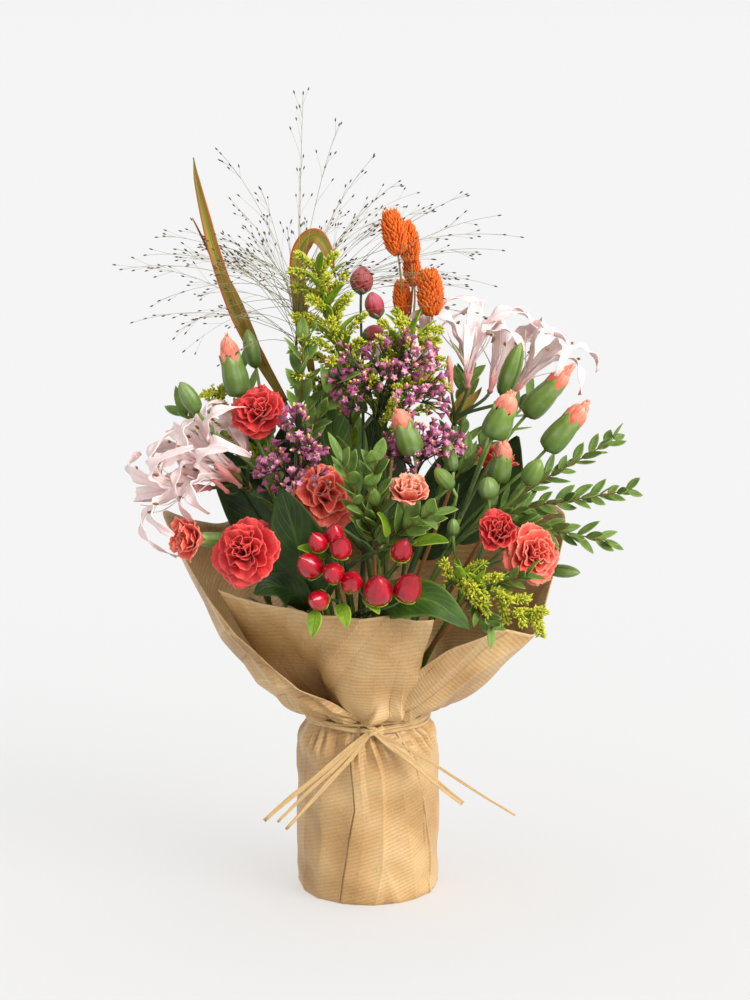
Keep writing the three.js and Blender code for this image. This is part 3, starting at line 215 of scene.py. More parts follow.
def along(curve: Array, share: Array | float) -> tuple[Array, Array]:
    """The points and directions at shares of a curve.

    Args:
        curve: points along a curve.
        share: places on it, from 0 to 1.

    Returns:
        The points there, and the unit vectors of the spans that they lie on.
    """
    place = np.clip(np.asarray(share, float), 0, 1) * (len(curve) - 1)
    i = np.minimum(place.astype(int), len(curve) - 2)
    t = (place - i)[..., None]
    return curve[i] * (1 - t) + curve[i + 1] * t, unit(curve[i + 1] - curve[i])


def folds(place: Array, spacing: float, seed: int) -> Array:
    """Sharp folds across a line: a triangle wave from 0 to 1 whose spacing wanders.

    Args:
        place: distances along the line.
        spacing: the usual distance between folds.
        seed: starts the random phases.

    Returns:
        The wave's height at each place.
    """
    rng = np.random.default_rng(seed)
    phases = rng.uniform(0, TURN, 3)
    at_fold = place / spacing
    wander = 0.35 * np.sin(at_fold * 1.7 + phases[0]) + 0.25 * np.sin(at_fold * 0.61 + phases[1])
    wave = at_fold + wander + phases[2]
    return 2 * np.abs(wave - np.floor(wave) - 0.5)


# ---- Skins: closed surfaces as arrays ----


@dataclass
class Skin:
    """A closed surface: (n, 3) points, quads, triangles, and the (n, 3) grain that its finish reads."""

    points: Array
    quads: Array
    tris: Array
    grain: Array

    @staticmethod
    def joined(skins: Sequence["Skin"]) -> "Skin":
        """Several skins as one, each keeping its own corners.

        Args:
            skins: what to join, in order.

        Returns:
            The skin of them all.
        """
        starts = np.cumsum([0] + [len(s.points) for s in skins[:-1]])
        return Skin(
            np.concatenate([s.points for s in skins]),
            np.concatenate([s.quads + n for s, n in zip(skins, starts)]),
            np.concatenate([s.tris + n for s, n in zip(skins, starts)]),
            np.concatenate([s.grain for s in skins]),
        )


NO_TRIS = np.zeros((0, 3), int)


def copied(faces: Array, copies: int, stride: int) -> Array:
    """The faces of one part repeated for each copy, whose corners lie a stride further on."""
    return (faces[None] + stride * np.arange(copies)[:, None, None]).reshape(-1, faces.shape[-1])


def sheets(grids: Array, thickness: Array | float, grain: Array) -> Skin:
    """Thin closed sheets: each grid is moved half its thickness to either side along its normal.

    The normal is the cross product of the slopes across and along. A strip closes the rim.

    Args:
        grids: (k, rows, columns, 3) points, columns running across and rows along.
        thickness: thickness, or an array of it that fits the grids.
        grain: (k, rows, columns, 3).

    Returns:
        One skin of k sheets.
    """
    k, rows, columns, _ = grids.shape
    normal = unit(np.cross(np.gradient(grids, axis=2), np.gradient(grids, axis=1)))
    half = np.broadcast_to(np.asarray(thickness, float), grids.shape[:3])[..., None] / 2
    points = np.stack([grids + normal * half, grids - normal * half], axis=1)
    index = np.arange(rows * columns).reshape(rows, columns)
    a, b, c, d = index[:-1, :-1], index[:-1, 1:], index[1:, 1:], index[1:, :-1]
    front = np.stack([a, b, c, d], axis=-1).reshape(-1, 4)
    back = front[:, ::-1] + rows * columns
    rim = np.concatenate([index[0, :-1], index[:-1, -1], index[-1, :0:-1], index[:0:-1, 0]])
    ahead, under = np.roll(rim, -1), rows * columns
    strip = np.stack([rim + under, ahead + under, ahead, rim], axis=-1)
    faces = np.concatenate([front, back, strip])
    doubled = np.broadcast_to(grain[:, None], (k, 2, rows, columns, 3))
    return Skin(
        points.reshape(-1, 3), copied(faces, k, 2 * rows * columns), NO_TRIS, doubled.reshape(-1, 3).copy()
    )


def wrapped(rings: Array, grain: Array, poles: Array) -> Skin:
    """Closed skins round rings of points, with a point that closes each end.

    Args:
        rings: (k, rows, sides, 3) points, each ring running anticlockwise seen from the next row's side.
        grain: (k, rows, sides, 3).
        poles: (k, 2, 3) end points.

    Returns:
        One skin of k closed parts.
    """
    k, rows, sides, _ = rings.shape
    count = rows * sides
    points = np.concatenate([rings.reshape(k, count, 3), poles], axis=1)
    ends = np.stack([grain[:, 0].mean(axis=1), grain[:, -1].mean(axis=1)], axis=1)
    marks = np.concatenate([grain.reshape(k, count, 3), ends], axis=1)
    index = np.arange(count).reshape(rows, sides)
    ahead = np.roll(index, -1, axis=1)
    quads = np.stack([index[:-1], ahead[:-1], ahead[1:], index[1:]], axis=-1).reshape(-1, 4)
    foot = np.stack([np.full(sides, count), ahead[0], index[0]], axis=-1)
    head = np.stack([np.full(sides, count + 1), index[-1], ahead[-1]], axis=-1)
    tris = np.concatenate([foot, head])
    return Skin(
        points.reshape(-1, 3), copied(quads, k, count + 2), copied(tris, k, count + 2), marks.reshape(-1, 3)
    )


def grain_for(k: int, rows: int, columns: int, picks: Array, closed: bool = False) -> Array:
    """The usual grain of k grids: across runs -1 to 1, or 0 to 1 round a closed ring, and along 0 to 1.

    Args:
        k: how many grids.
        rows: points along each.
        columns: points across each.
        picks: one draw for each grid, or one for all.
        closed: whether the columns make a ring.

    Returns:
        The grain, as (k, rows, columns, 3).
    """
    across = np.arange(columns) / columns if closed else np.linspace(-1, 1, columns)
    ahead = np.linspace(0, 1, rows)
    out = np.empty((k, rows, columns, 3))
    out[..., 0] = across
    out[..., 1] = ahead[:, None]
    out[..., 2] = np.broadcast_to(np.asarray(picks, float), (k,))[:, None, None]
    return out


def tubes(paths: Array, radii: Array | float, sides: int = 6, picks: Array | float = 0.5) -> Skin:
    """Round bars: a circle of the given radius carried along each path, square to its slope.

    Args:
        paths: (k, rows, 3) or (rows, 3) points.
        radii: a radius, or an array that fits (k, rows).
        sides: corners of the circle.
        picks: a draw for each bar.

    Returns:
        One skin of k bars.
    """
    paths = paths if paths.ndim == 3 else paths[None]
    k, rows, _ = paths.shape
    slope = unit(np.gradient(paths, axis=1))
    overall = np.abs(unit(paths[:, -1] - paths[:, 0]) + 1e-6)
    steady = np.eye(3)[np.argmin(overall, axis=1)][:, None]
    lift = unit(steady - slope * np.sum(steady * slope, axis=-1, keepdims=True))
    side = np.cross(slope, lift)
    angle = circle(sides)[:, None]
    radius = np.broadcast_to(np.asarray(radii, float), (k, rows))[..., None, None]
    spokes = lift[:, :, None] * np.cos(angle) + side[:, :, None] * np.sin(angle)
    rings = paths[:, :, None] + radius * spokes
    return wrapped(rings, grain_for(k, rows, sides, picks, closed=True), paths[:, [0, -1]])


def turned(
    origins: Array, frames: Array, profile: Array, sides: int = 16, picks: Array | float = 0.5,
    swell: Array | float = 1.0, lift: Array | float = 0.0,
) -> Skin:
    """Bodies of revolution: rows of [radius, height] carried round each frame's third row.

    Args:
        origins: (k, 3) feet of the axes.
        frames: (k, 3, 3) frames.
        profile: (rows, 2) or (k, rows, 2), from the foot to the tip.
        sides: corners round the axis.
        picks: a draw for each body.
        swell: multiplies the radius, an array that fits (rows, sides).
        lift: is added to the height, an array that fits (rows, sides).

    Returns:
        One skin of k bodies.
    """
    origins, frames = np.atleast_2d(origins), np.asarray(frames).reshape(-1, 3, 3)
    k = len(origins)
    profile = np.broadcast_to(profile, (k, *np.shape(profile)[-2:]))
    rows = profile.shape[1]
    angle = circle(sides)
    radius = profile[:, :, :1] * np.broadcast_to(swell, (rows, sides))
    height = profile[:, :, 1:] + np.broadcast_to(lift, (rows, sides))
    local = np.stack([radius * np.cos(angle), radius * np.sin(angle), height], axis=-1)
    rings = origins[:, None, None] + np.einsum("krsi,kij->krsj", local, frames)
    marks = grain_for(k, rows, sides, picks, closed=True)
    return wrapped(rings, marks, rings[:, [0, -1]].mean(axis=2))


def blades(
    paths: Array, widths: Array, faces: Array, *, fold: float = 0.1, ripple: Array | float = 0.0,
    thick: float = 0.5, columns: int = 7, picks: Array | float = 0.5,
) -> Skin:
    """Leaves and petals: a strip across each path, square to its slope and turned towards a face.

    A point lies half the width times u to the side, and the fold times half the width times |u| towards
    the face, plus the ripple.

    Args:
        paths: (k, rows, 3) or (rows, 3) midribs.
        widths: widths that fit (k, rows).
        faces: directions that fit (k, 3), towards which the upper side looks.
        fold: how far the edges rise, as a share of half the width.
        ripple: extra height towards the face, an array that fits (k, rows, columns).
        thick: thickness of the sheet.
        columns: points across.
        picks: a draw for each blade.

    Returns:
        One skin of k blades.
    """
    paths = paths if paths.ndim == 3 else paths[None]
    k, rows, _ = paths.shape
    faces = np.broadcast_to(np.asarray(faces, float), (k, 3))[:, None]
    slope = unit(np.gradient(paths, axis=1))
    side = unit(np.cross(slope, faces))
    normal = np.cross(side, slope)
    u = np.linspace(-1, 1, columns)
    half = np.broadcast_to(np.asarray(widths, float), (k, rows))[..., None] / 2
    rise = fold * half * np.abs(u) ** 1.4 + ripple
    across = side[:, :, None] * (half * u)[..., None]
    grids = paths[:, :, None] + across + normal[:, :, None] * rise[..., None]
    return sheets(grids, thick, grain_for(k, rows, columns, picks))


def stamped(shape: Skin, origins: Array, frames: Array, sizes: Array | float, picks: Array) -> Skin:
    """Copies of a small shape: its points times a size, turned into each frame and moved to its origin.

    Args:
        shape: the shape, about one millimetre long along its third axis.
        origins: (k, 3) places.
        frames: (k, 3, 3) frames.
        sizes: sizes that fit (k, 3).
        picks: (k,) draws, which replace the shape's own.

    Returns:
        One skin of k copies.
    """
    k, n = len(origins), len(shape.points)
    sizes = np.broadcast_to(np.asarray(sizes, float), (k, 3))
    local = shape.points[None] * sizes[:, None]
    points = origins[:, None] + np.einsum("kni,kij->knj", local, frames)
    grain = np.repeat(shape.grain[None], k, axis=0)
    grain[..., 2] = np.asarray(picks, float)[:, None]
    return Skin(
        points.reshape(-1, 3), copied(shape.quads, k, n), copied(shape.tris, k, n), grain.reshape(-1, 3)
    )


def ovals(rows: int, blunt: float = 0.5) -> Array:
    """A profile [radius, height] of an egg one long and two wide: sine of the height's angle, to a power."""
    height = np.linspace(0.02, 0.98, rows)
    return np.stack([np.sin(math.pi * height) ** blunt, height], axis=-1)


def bead(sides: int = 6, rows: int = 4, blunt: float = 0.6) -> Skin:
    """A small egg, one long and one wide, that stands on the origin.

    Args:
        sides: corners round it.
        rows: rings up it.
        blunt: the power of its profile; a lower one gives blunter ends.

    Returns:
        The egg.
    """
    profile = ovals(rows, blunt)
    profile[:, 0] /= 2
    return turned(np.zeros((1, 3)), np.eye(3)[None], profile, sides)


def leaf_widths(rows: int, widest: float = 0.4, point: float = 0.8, foot: float = 0.08) -> Array:
    """Width shares of a pointed leaf: a sine that peaks at the widest place, raised to a power.

    Args:
        rows: how many places along the leaf.
        widest: where it is widest, from 0 to 1.
        point: the power; a higher one gives finer ends.
        foot: the width share kept at its foot.

    Returns:
        The share at each place.
    """
    s = np.linspace(0, 1, rows)
    warped = s ** (math.log(0.5) / math.log(widest))
    return foot * (1 - s) + (1 - foot * (1 - s)) * np.sin(math.pi * np.clip(warped, 0.0, 0.997)) ** point


# ---- Pieces ----


def make_piece(
    name: str, parts: Sequence[tuple[Skin, Material]], nodes: Sequence[str]
) -> Object:
    """Makes one shown object from skins and their materials, and puts it in the place of CAD nodes.

    Args:
        name: the piece's name.
        parts: skins with the material of each.
        nodes: CAD nodes that it stands for.

    Returns:
        The new object.
    """
    whole = Skin.joined([skin for skin, _ in parts])
    materials = list(dict.fromkeys(material for _, material in parts))
    wear = [materials.index(material) for _, material in parts]
    quad_wear = np.repeat(wear, [len(skin.quads) for skin, _ in parts])
    tri_wear = np.repeat(wear, [len(skin.tris) for skin, _ in parts])
    mesh = bpy.data.meshes.new(name)
    mesh.vertices.add(len(whole.points))
    mesh.vertices.foreach_set("co", (whole.points * MM).astype(np.float32).ravel())
    corners = np.concatenate([whole.quads.ravel(), whole.tris.ravel()])
    mesh.loops.add(len(corners))
    mesh.loops.foreach_set("vertex_index", corners.astype(np.int32))
    starts = np.concatenate(
        [4 * np.arange(len(whole.quads)), whole.quads.size + 3 * np.arange(len(whole.tris))]
    )
    mesh.polygons.add(len(starts))
    mesh.polygons.foreach_set("loop_start", starts.astype(np.int32))
    mesh.polygons.foreach_set("material_index", np.concatenate([quad_wear, tri_wear]).astype(np.int32))
    mesh.polygons.foreach_set("use_smooth", np.ones(len(starts), bool))
    marks = mesh.attributes.new(GRAIN, "FLOAT_VECTOR", "POINT")
    marks.data.foreach_set("vector", whole.grain.astype(np.float32).ravel())
    mesh.update(calc_edges=True)
    for material in materials:
        mesh.materials.append(material)
    piece = bpy.data.objects.new(name, mesh)
    bpy.context.scene.collection.objects.link(piece)
    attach(piece, "root")
    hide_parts(*nodes)
    log.info("%s: %d faces", name, len(starts))
    return piece


CUT_FACE = 0.3  # corners this near the lowest one belong to a stem's cut end


def foot_of(node: str) -> Array:
    """The middle of a CAD node's lowest corners, where its cut stem stands, in millimetres.

    Args:
        node: the CAD node's name.

    Returns:
        The middle point.
    """
    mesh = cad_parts[node].data
    points = np.empty(len(mesh.vertices) * 3, np.float32)
    mesh.vertices.foreach_get("co", points)
    points = points.reshape(-1, 3) / MM
    return points[points[:, 2] < points[:, 2].min() + CUT_FACE].mean(axis=0)


@dataclass
class Stem:
    """A main stem: straight in the water pack, then one cubic curve from the tie to its fork."""

    node: str
    fork: Point
    radius: float = 1.7
    lean: Point | None = None
    tip: float = 0.75
    steps: int = 22
    foot: Array = field(init=False)
    curve: Array = field(init=False)

    def __post_init__(self) -> None:
        """Reads where the CAD stem stands and works out the curve from there."""
        x, y, _ = foot_of(self.node)
        neck, end = at(x, y, STEM_NECK), at(self.fork)
        arrive = end - neck if self.lean is None else at(self.lean)
        self.curve = bend(neck, at(x * SPREAD_PER_SLOT, y * SPREAD_PER_SLOT, 1), end, arrive, self.steps)
        self.foot = at(x, y, STEM_FOOT)

    def skin(self) -> Skin:
        """The stem as a bar that narrows towards its fork.

        Returns:
            The bar.
        """
        path = np.concatenate([self.foot[None], self.curve])
        taper = np.linspace(1, self.tip, self.steps + 1)
        return tubes(path, self.radius * np.concatenate([[1], taper]), 8)

    def branch(
        self, share: float, end: Array, arrive: Array, radius: float, steps: int = 10, reach: float = 0.3
    ) -> Skin:
        """A stalk that leaves the stem at a share of it and reaches a point along a direction.

        Args:
            share: where it leaves the stem, from 0 to 1.
            end: the point that it reaches.
            arrive: its direction there.
            radius: its radius there.
            steps: spans along it.
            reach: length of a handle as a share of the distance.

        Returns:
            The stalk.
        """
        start, direction = along(self.curve, share)
        path = bend(start, direction, end, arrive, steps, reach)
        return tubes(path, np.linspace(radius * 1.1, radius, steps + 1), 7, 0.6)


# ---- Shader maths ----


def linear(colour: Colour) -> tuple:
    """A colour's linear parts from 0 to 1."""
    parts = [c / 255 for c in colour]
    return tuple(c / 12.92 if c <= 0.04045 else ((c + 0.055) / 1.055) ** 2.4 for c in parts)


class Value:
    """A number socket whose operators each add one Math node."""

    def __init__(self, shader: "Shader", socket: Socket) -> None:
        """Wraps a socket of a shader."""
        self.shader = shader
        self.socket = socket

    def math(self, operation: str, *others: "Value | float", first: float | None = None) -> "Value":
        """One Math node on this value.

        Args:
            operation: Blender's name of the operation.
            others: the further values.
            first: a number that goes before this value.

        Returns:
            The result.
        """
        values = ([self] if first is None else [first, self]) + list(others)
        made = self.shader.add("ShaderNodeMath", {"operation": operation}, dict(enumerate(values)))
        return Value(self.shader, made.outputs[0])

    __add__ = __radd__ = partialmethod(math, "ADD")
    __sub__ = partialmethod(math, "SUBTRACT")
    __mul__ = __rmul__ = partialmethod(math, "MULTIPLY")
    __pow__ = partialmethod(math, "POWER")
    __abs__ = partialmethod(math, "ABSOLUTE")

    def __rsub__(self, other: float) -> "Value":
        """The difference from a number."""
        return self.math("SUBTRACT", first=other)

    def wave(self) -> "Value":
        """The sine, moved to run from 0 to 1."""
        return self.math("SINE") * 0.5 + 0.5

    def rise(self, low: float, high: float) -> "Value":
        """A smooth rise from 0 to 1 between two values.

        Args:
            low: where it leaves 0.
            high: where it reaches 1.

        Returns:
            The rise.
        """
        made = self.shader.add(
            "ShaderNodeMapRange",
            {"interpolation_type": "SMOOTHSTEP"},
            {"Value": self, "From Min": low, "From Max": high},
        )
        return Value(self.shader, made.outputs[0])


class Shader:
    """A material under construction."""

    def __init__(self, name: str) -> None:
        """Starts a material with an output and nothing else.

        Args:
            name: the material's name.
        """
        self.material = bpy.data.materials.new(name)
        self.material.use_nodes = True
        self.tree = self.material.node_tree
        self.tree.nodes.clear()
        self.marks: list[Value] = []

    def add(self, kind: str, settings: dict | None = None, sockets: dict | None = None) -> bpy.types.Node:
        """Adds one node.

        Args:
            kind: the node's type.
            settings: attributes, set before the sockets are touched. Stops fill a colour ramp.
            sockets: values or links by the name or the number of the input.

        Returns:
            The node.
        """
        node = self.tree.nodes.new(kind)
        for key, value in (settings or {}).items():
            if key == "stops":
                self._fill_ramp(node.color_ramp, value)
            else:
                setattr(node, key, value)
        for key, value in (sockets or {}).items():
            if isinstance(value, Value):
                self.tree.links.new(value.socket, node.inputs[key])
            elif isinstance(value, Socket):
                self.tree.links.new(value, node.inputs[key])
            else:
                node.inputs[key].default_value = value
        return node

    @staticmethod
    def _fill_ramp(ramp: bpy.types.ColorRamp, stops: Sequence[tuple[float, Colour]]) -> None:
        """Fills a ramp with [place, colour] stops.

        Args:
            ramp: the ramp to fill, which starts with two stops.
            stops: its places and colours.
        """
        for extra in range(len(stops) - 2):
            ramp.elements.new(0.5 + 0.01 * extra)
        for element, (place, colour) in zip(ramp.elements, stops):
            element.position = place
            element.color = (*linear(colour), 1)

    def grain(self) -> list[Value]:
        """The grain's three values: across, along, and a draw for each part.

        Returns:
            The three values, read by one node.
        """
        if not self.marks:
            source = self.add("ShaderNodeAttribute", {"attribute_name": GRAIN})
            split = self.add("ShaderNodeSeparateXYZ", None, {0: source.outputs["Vector"]})
            self.marks = [Value(self, socket) for socket in split.outputs]
        return self.marks

    def vector(self, x: "Value | float", y: "Value | float", z: "Value | float") -> Socket:
        """A vector from three values."""
        return self.add("ShaderNodeCombineXYZ", None, {0: x, 1: y, 2: z}).outputs[0]

    def place(self) -> Socket:
        """Object coordinates, in metres."""
        return self.add("ShaderNodeTexCoord").outputs["Object"]

    def noise(
        self, scale: float, where: Socket | None = None, detail: float = 2, rough: float = 0.5
    ) -> Value:
        """Cloudy noise from 0 to 1, on Object coordinates unless a vector is given."""
        sockets = {"Vector": where or self.place(), "Scale": scale, "Detail": detail, "Roughness": rough}
        return Value(self, self.add("ShaderNodeTexNoise", None, sockets).outputs[0])

    def streaks(
        self, across: float, ahead: float, apart: float, detail: float = 3, rough: float = 0.5
    ) -> Value:
        """Noise drawn out along a piece, by its scales across, ahead and from part to part."""
        u, v, pick = self.grain()
        return self.noise(1.0, self.vector(u * across, v * ahead, pick * apart), detail, rough)

    def mix(self, share: "Value | float", a: object, b: object) -> Socket:
        """The mix of two colours, given as sockets or as colours.

        Args:
            share: 0 for the first colour and 1 for the second.
            a: the first colour.
            b: the second colour.

        Returns:
            The mixed colour.
        """
        full = [(*linear(c), 1) if isinstance(c, tuple) else c for c in (a, b)]
        settings = {"data_type": "RGBA", "clamp_factor": True}
        return self.add("ShaderNodeMix", settings, {0: share, 6: full[0], 7: full[1]}).outputs[2]

    def ramp(self, share: Value, *stops: tuple[float, Colour]) -> Socket:
        """A colour that runs through stops."""
        return self.add("ShaderNodeValToRGB", {"stops": stops}, {0: share}).outputs[0]

    def bump(self, height: Value, distance: float, strength: float = 1.0) -> Socket:
        """A normal from a height, whose full range stands for a distance in metres."""
        sockets = {"Height": height, "Distance": distance, "Strength": strength}
        return self.add("ShaderNodeBump", None, sockets).outputs["Normal"]

    def done(self, sockets: dict) -> Material:
        """Ends the material in one Principled shader.

        Args:
            sockets: its inputs by name.

        Returns:
            The material.
        """
        shader = self.add("ShaderNodeBsdfPrincipled", None, sockets)
        self.add("ShaderNodeOutputMaterial", None, {"Surface": shader.outputs[0]})
        return self.material


# ---- Finishes ----


class Finish:
    """What a material looks like. Each kind says what its shader's sockets take."""

    def sockets(self, s: Shader) -> dict:
        """The inputs of the Principled shader, by name."""
        raise NotImplementedError

    def material(self, name: str) -> Material:
        """Builds the material."""
        shader = Shader(name)
        return shader.done(self.sockets(shader))


@dataclass(frozen=True)
class PetalFinish(Finish):
    """Soft petals: a colour that runs from the throat to the edge, fine streaks and a paler rim."""

    throat: Colour
    body: Colour
    edge: Colour
    edge_from: float = 0.72
    streak: float = 0.35
    vein: float = 0.0  # how strongly a midrib shows
    rough: float = 0.55
    glow: float = 0.12  # light that a thin petal lets through

    def sockets(self, s: Shader) -> dict:
        """Streaks run along the petal, clouds lighten it, and a vein runs up the middle.

        Args:
            s: the shader to add nodes to.

        Returns:
            What the sockets take, by name.
        """
        across, length, pick = s.grain()
        streaks = s.streaks(14, 1.6, 40)
        cloud = s.noise(140, detail=2)
        stops = ((0.0, self.throat), (0.32, self.body), (self.edge_from, self.body), (1.0, self.edge))
        base = s.ramp(length, *stops)
        deep = s.mix(streaks.rise(0.35, 0.75) * self.streak, base, self.throat)
        lit = s.mix(cloud.rise(0.4, 0.75) * 0.3 + pick * 0.25, deep, self.edge)
        rib = (1 - abs(across).rise(0.02, 0.2)) * self.vein * (1 - length.rise(0.5, 1.0) * 0.5)
        height = streaks * 0.6 + (across * 34).wave() * 0.25
        return {
            "Base Color": s.mix(rib, lit, self.throat if self.vein else self.edge),
            "Roughness": cloud * 0.15 + (self.rough - 0.07),
            "Normal": s.bump(height, 0.0004),
            "Subsurface Weight": self.glow,
            "Subsurface Radius": (0.004, 0.0015, 0.001),
            "Sheen Weight": 0.12,
        }


@dataclass(frozen=True)
class LeafFinish(Finish):
    """A leaf: blotched green with a midrib, slanting side veins and a tinted rim."""

    deep: Colour
    light: Colour
    rim: Colour
    vein: Colour
    pitch: float = 9.0  # side veins from foot to tip
    slant: float = 0.5
    veins: float = 0.6
    rim_from: float = 0.8
    tip_tint: float = 0.0
    rough: float = 0.4

    def sockets(self, s: Shader) -> dict:
        """Side veins are a wave of the way along, less a share of the way across.

        Args:
            s: the shader to add nodes to.

        Returns:
            What the sockets take, by name.
        """
        across, length, pick = s.grain()
        blotch = s.noise(90, detail=4)
        fine = s.noise(900, detail=2)
        side = abs(across)
        slanted = (length - side * (self.slant / 3)) * (TURN * self.pitch)
        lateral = (slanted.wave() ** 9) * (1 - side.rise(0.75, 1.0)) * side.rise(0.0, 0.15)
        lines = lateral * 0.55 + (1 - side.rise(0.015, 0.1))
        body = s.mix(blotch.rise(0.3, 0.72) * 0.75 + pick * 0.25, self.deep, self.light)
        tinted = s.mix(side.rise(self.rim_from, 1.0) + length.rise(0.72, 1.0) * self.tip_tint, body, self.rim)
        height = fine * 0.25 + blotch * 0.4 - lines * 0.8
        return {
            "Base Color": s.mix(lines * self.veins, tinted, self.vein),
            "Roughness": fine * 0.12 + self.rough,
            "Specular IOR Level": 0.3,
            "Normal": s.bump(height, 0.0005, 0.8),
            "Subsurface Weight": 0.04,
            "Subsurface Radius": (0.001, 0.002, 0.0008),
        }


@dataclass(frozen=True)
class BladeFinish(Finish):
    """A grassy blade: parallel veins, a coloured edge, and freckles."""

    deep: Colour
    light: Colour
    edge: Colour
    edge_from: float = 0.6
    rough: float = 0.5

    def sockets(self, s: Shader) -> dict:
        """Streaks mix the greens and blur the coloured edge, and freckles take its colour too.

        Args:
            s: the shader to add nodes to.

        Returns:
            What the sockets take, by name.
        """
        across, _, _ = s.grain()
        streaks = s.streaks(9, 3, 30, 4)
        edge = (abs(across) + streaks * 0.4 - 0.2).rise(self.edge_from, 0.95)
        streaked = s.mix(streaks.rise(0.3, 0.7), self.deep, self.light)
        edged = s.mix(edge, streaked, self.edge)
        freckle = s.noise(700, detail=3).rise(0.6, 0.72) * 0.5
        return {
            "Base Color": s.mix(freckle, edged, self.edge),
            "Roughness": streaks * 0.2 + (self.rough - 0.1),
            "Normal": s.bump((across * 40).wave() * 0.5 + streaks * 0.5, 0.0003),
        }


@dataclass(frozen=True)
class StemFinish(Finish):
    """A stem, calyx or twig: streaks along it, a bloom of pale wax and a change of colour towards the tip."""

    low: Colour
    high: Colour
    stripe: Colour
    stripes: float = 10.0
    stripe_share: float = 0.5
    wax: float = 0.2
    rough: float = 0.5
    wax_colour: Colour = (205, 216, 200)

    def sockets(self, s: Shader) -> dict:
        """Stripes are a wave round the stem, broken up by its streaks.

        Args:
            s: the shader to add nodes to.

        Returns:
            What the sockets take, by name.
        """
        across, length, _ = s.grain()
        streaks = s.streaks(12, 2, 30)
        lines = (across * (TURN * self.stripes) + streaks * 2).wave()
        plain = s.mix(length.rise(0.15, 1.0), self.low, self.high)
        striped = s.mix(lines * streaks * self.stripe_share * 2, plain, self.stripe)
        waxed = s.noise(160, detail=2).rise(0.4, 0.75) * self.wax
        return {
            "Base Color": s.mix(waxed, striped, self.wax_colour),
            "Roughness": streaks * 0.2 + (self.rough - 0.1),
            "Normal": s.bump(lines * 0.4 + streaks * 0.5, 0.0003),
        }


@dataclass(frozen=True)
class FloretFinish(Finish):
    """Small repeated parts: scales, seeds and florets, each a little different, darker at the foot."""

    foot: Colour
    body: Colour
    tip: Colour
    rough: float = 0.7
    spread: float = 0.5

    def sockets(self, s: Shader) -> dict:
        """A ramp from foot to tip, mixed with the foot's colour by the part's draw, and specks.

        Args:
            s: the shader to add nodes to.

        Returns:
            What the sockets take, by name.
        """
        _, length, pick = s.grain()
        speck = s.noise(1400, detail=2)
        ramp = s.ramp(length, (0.0, self.foot), (0.45, self.body), (1.0, self.tip))
        varied = s.mix(pick * self.spread, ramp, self.foot)
        return {
            "Base Color": s.mix(speck.rise(0.5, 0.75) * 0.35, varied, self.tip),
            "Roughness": speck * 0.2 + (self.rough - 0.1),
            "Normal": s.bump(speck, 0.0002),
        }


@dataclass(frozen=True)
class BerryFinish(Finish):
    """A glossy berry: deep at the foot, with a painted highlight at the shoulder and a waxy coat."""

    deep: Colour
    body: Colour
    flush: Colour

    def sockets(self, s: Shader) -> dict:
        """Clouds and three seams deepen a ramp from foot to tip.

        Args:
            s: the shader to add nodes to.

        Returns:
            What the sockets take, by name.
        """
        across, length, pick = s.grain()
        cloud = s.noise(160, detail=3)
        seam = ((across * (3 * TURN)).wave() ** 8) * 0.6
        # The pale pink round the foot and lower shoulder is a painted highlight.
        ramp = s.ramp(length, (0.0, self.flush), (0.25, self.body), (0.8, self.body), (1.0, self.deep))
        clouded = s.mix(cloud.rise(0.4, 0.75) * 0.45 + pick * 0.3, ramp, self.deep)
        return {
            "Base Color": s.mix(seam * 0.6, clouded, self.deep),
            "Roughness": cloud * 0.15 + 0.14,
            "Normal": s.bump(cloud * 0.5 - seam * 0.4, 0.0004),
            "Coat Weight": 0.35,
            "Coat Roughness": 0.12,
            "Subsurface Weight": 0.08,
            "Subsurface Radius": (0.003, 0.0008, 0.0008),
        }


@dataclass(frozen=True)
class PaperFinish(Finish):
    """Kraft paper: fine ribs whose phase the grain carries in millimetres, fibres, specks, and folds with a
    painted highlight on their ridges and painted shade in their valleys.
    """

    deep: Colour
    body: Colour
    pale: Colour
    pitch: float = 2.3  # millimetres from rib to rib

    def sockets(self, s: Shader) -> dict:
        """The grain holds millimetres round, the ribs' phase, and how sharply the sheet folds.

        Args:
            s: the shader to add nodes to.

        Returns:
            What the sockets take, by name.
        """
        arc, phase, fold = s.grain()
        fibre = s.noise(1.0, s.vector(arc * 0.5, phase * 4.0, 0.0), detail=5, rough=0.65)
        cloud = s.noise(28, detail=4)
        speck = s.noise(1600, detail=3)
        ribs = (phase * (TURN / self.pitch) + cloud * 0.8).wave()
        tone = s.ramp(fibre * 0.5 + cloud * 0.5, (0.26, self.deep), (0.48, self.body), (0.7, self.pale))
        shaded = s.mix((1 - ribs) * 0.16, tone, self.deep)
        # Painted highlight on the folds' ridges, then painted shade in their valleys.
        ridge_highlight = s.mix(fold.rise(0.15, 1.0) * 0.5, shaded, self.pale)
        sunk = s.mix((fold * -1).rise(0.15, 1.0) * 0.5, ridge_highlight, self.deep)
        height = ribs * 0.5 + fibre * 0.35 + speck * 0.12 + fold * 0.9
        return {
            "Base Color": s.mix(speck.rise(0.63, 0.74) * 0.3, sunk, self.deep),
            "Roughness": fibre * 0.2 + 0.32,
            "Normal": s.bump(height, 0.00035, 0.8),
            "Subsurface Weight": 0.3,
            "Subsurface Radius": (0.004, 0.002, 0.0008),
        }


@dataclass(frozen=True)
class RaffiaFinish(Finish):
    """Raffia: long straw fibres that part here and there."""

    deep: Colour
    body: Colour
    pale: Colour

    def sockets(self, s: Shader) -> dict:
        """One streaked noise gives the colour, the roughness and the relief.

        Args:
            s: the shader to add nodes to.

        Returns:
            What the sockets take, by name.
        """
        fibre = s.streaks(11, 4, 20, 5, 0.7)
        return {
            "Base Color": s.ramp(fibre, (0.3, self.deep), (0.48, self.body), (0.68, self.pale)),
            "Roughness": fibre * 0.3 + 0.4,
            "Normal": s.bump(fibre, 0.0006, 0.9),
            "Sheen Weight": 0.15,
        }


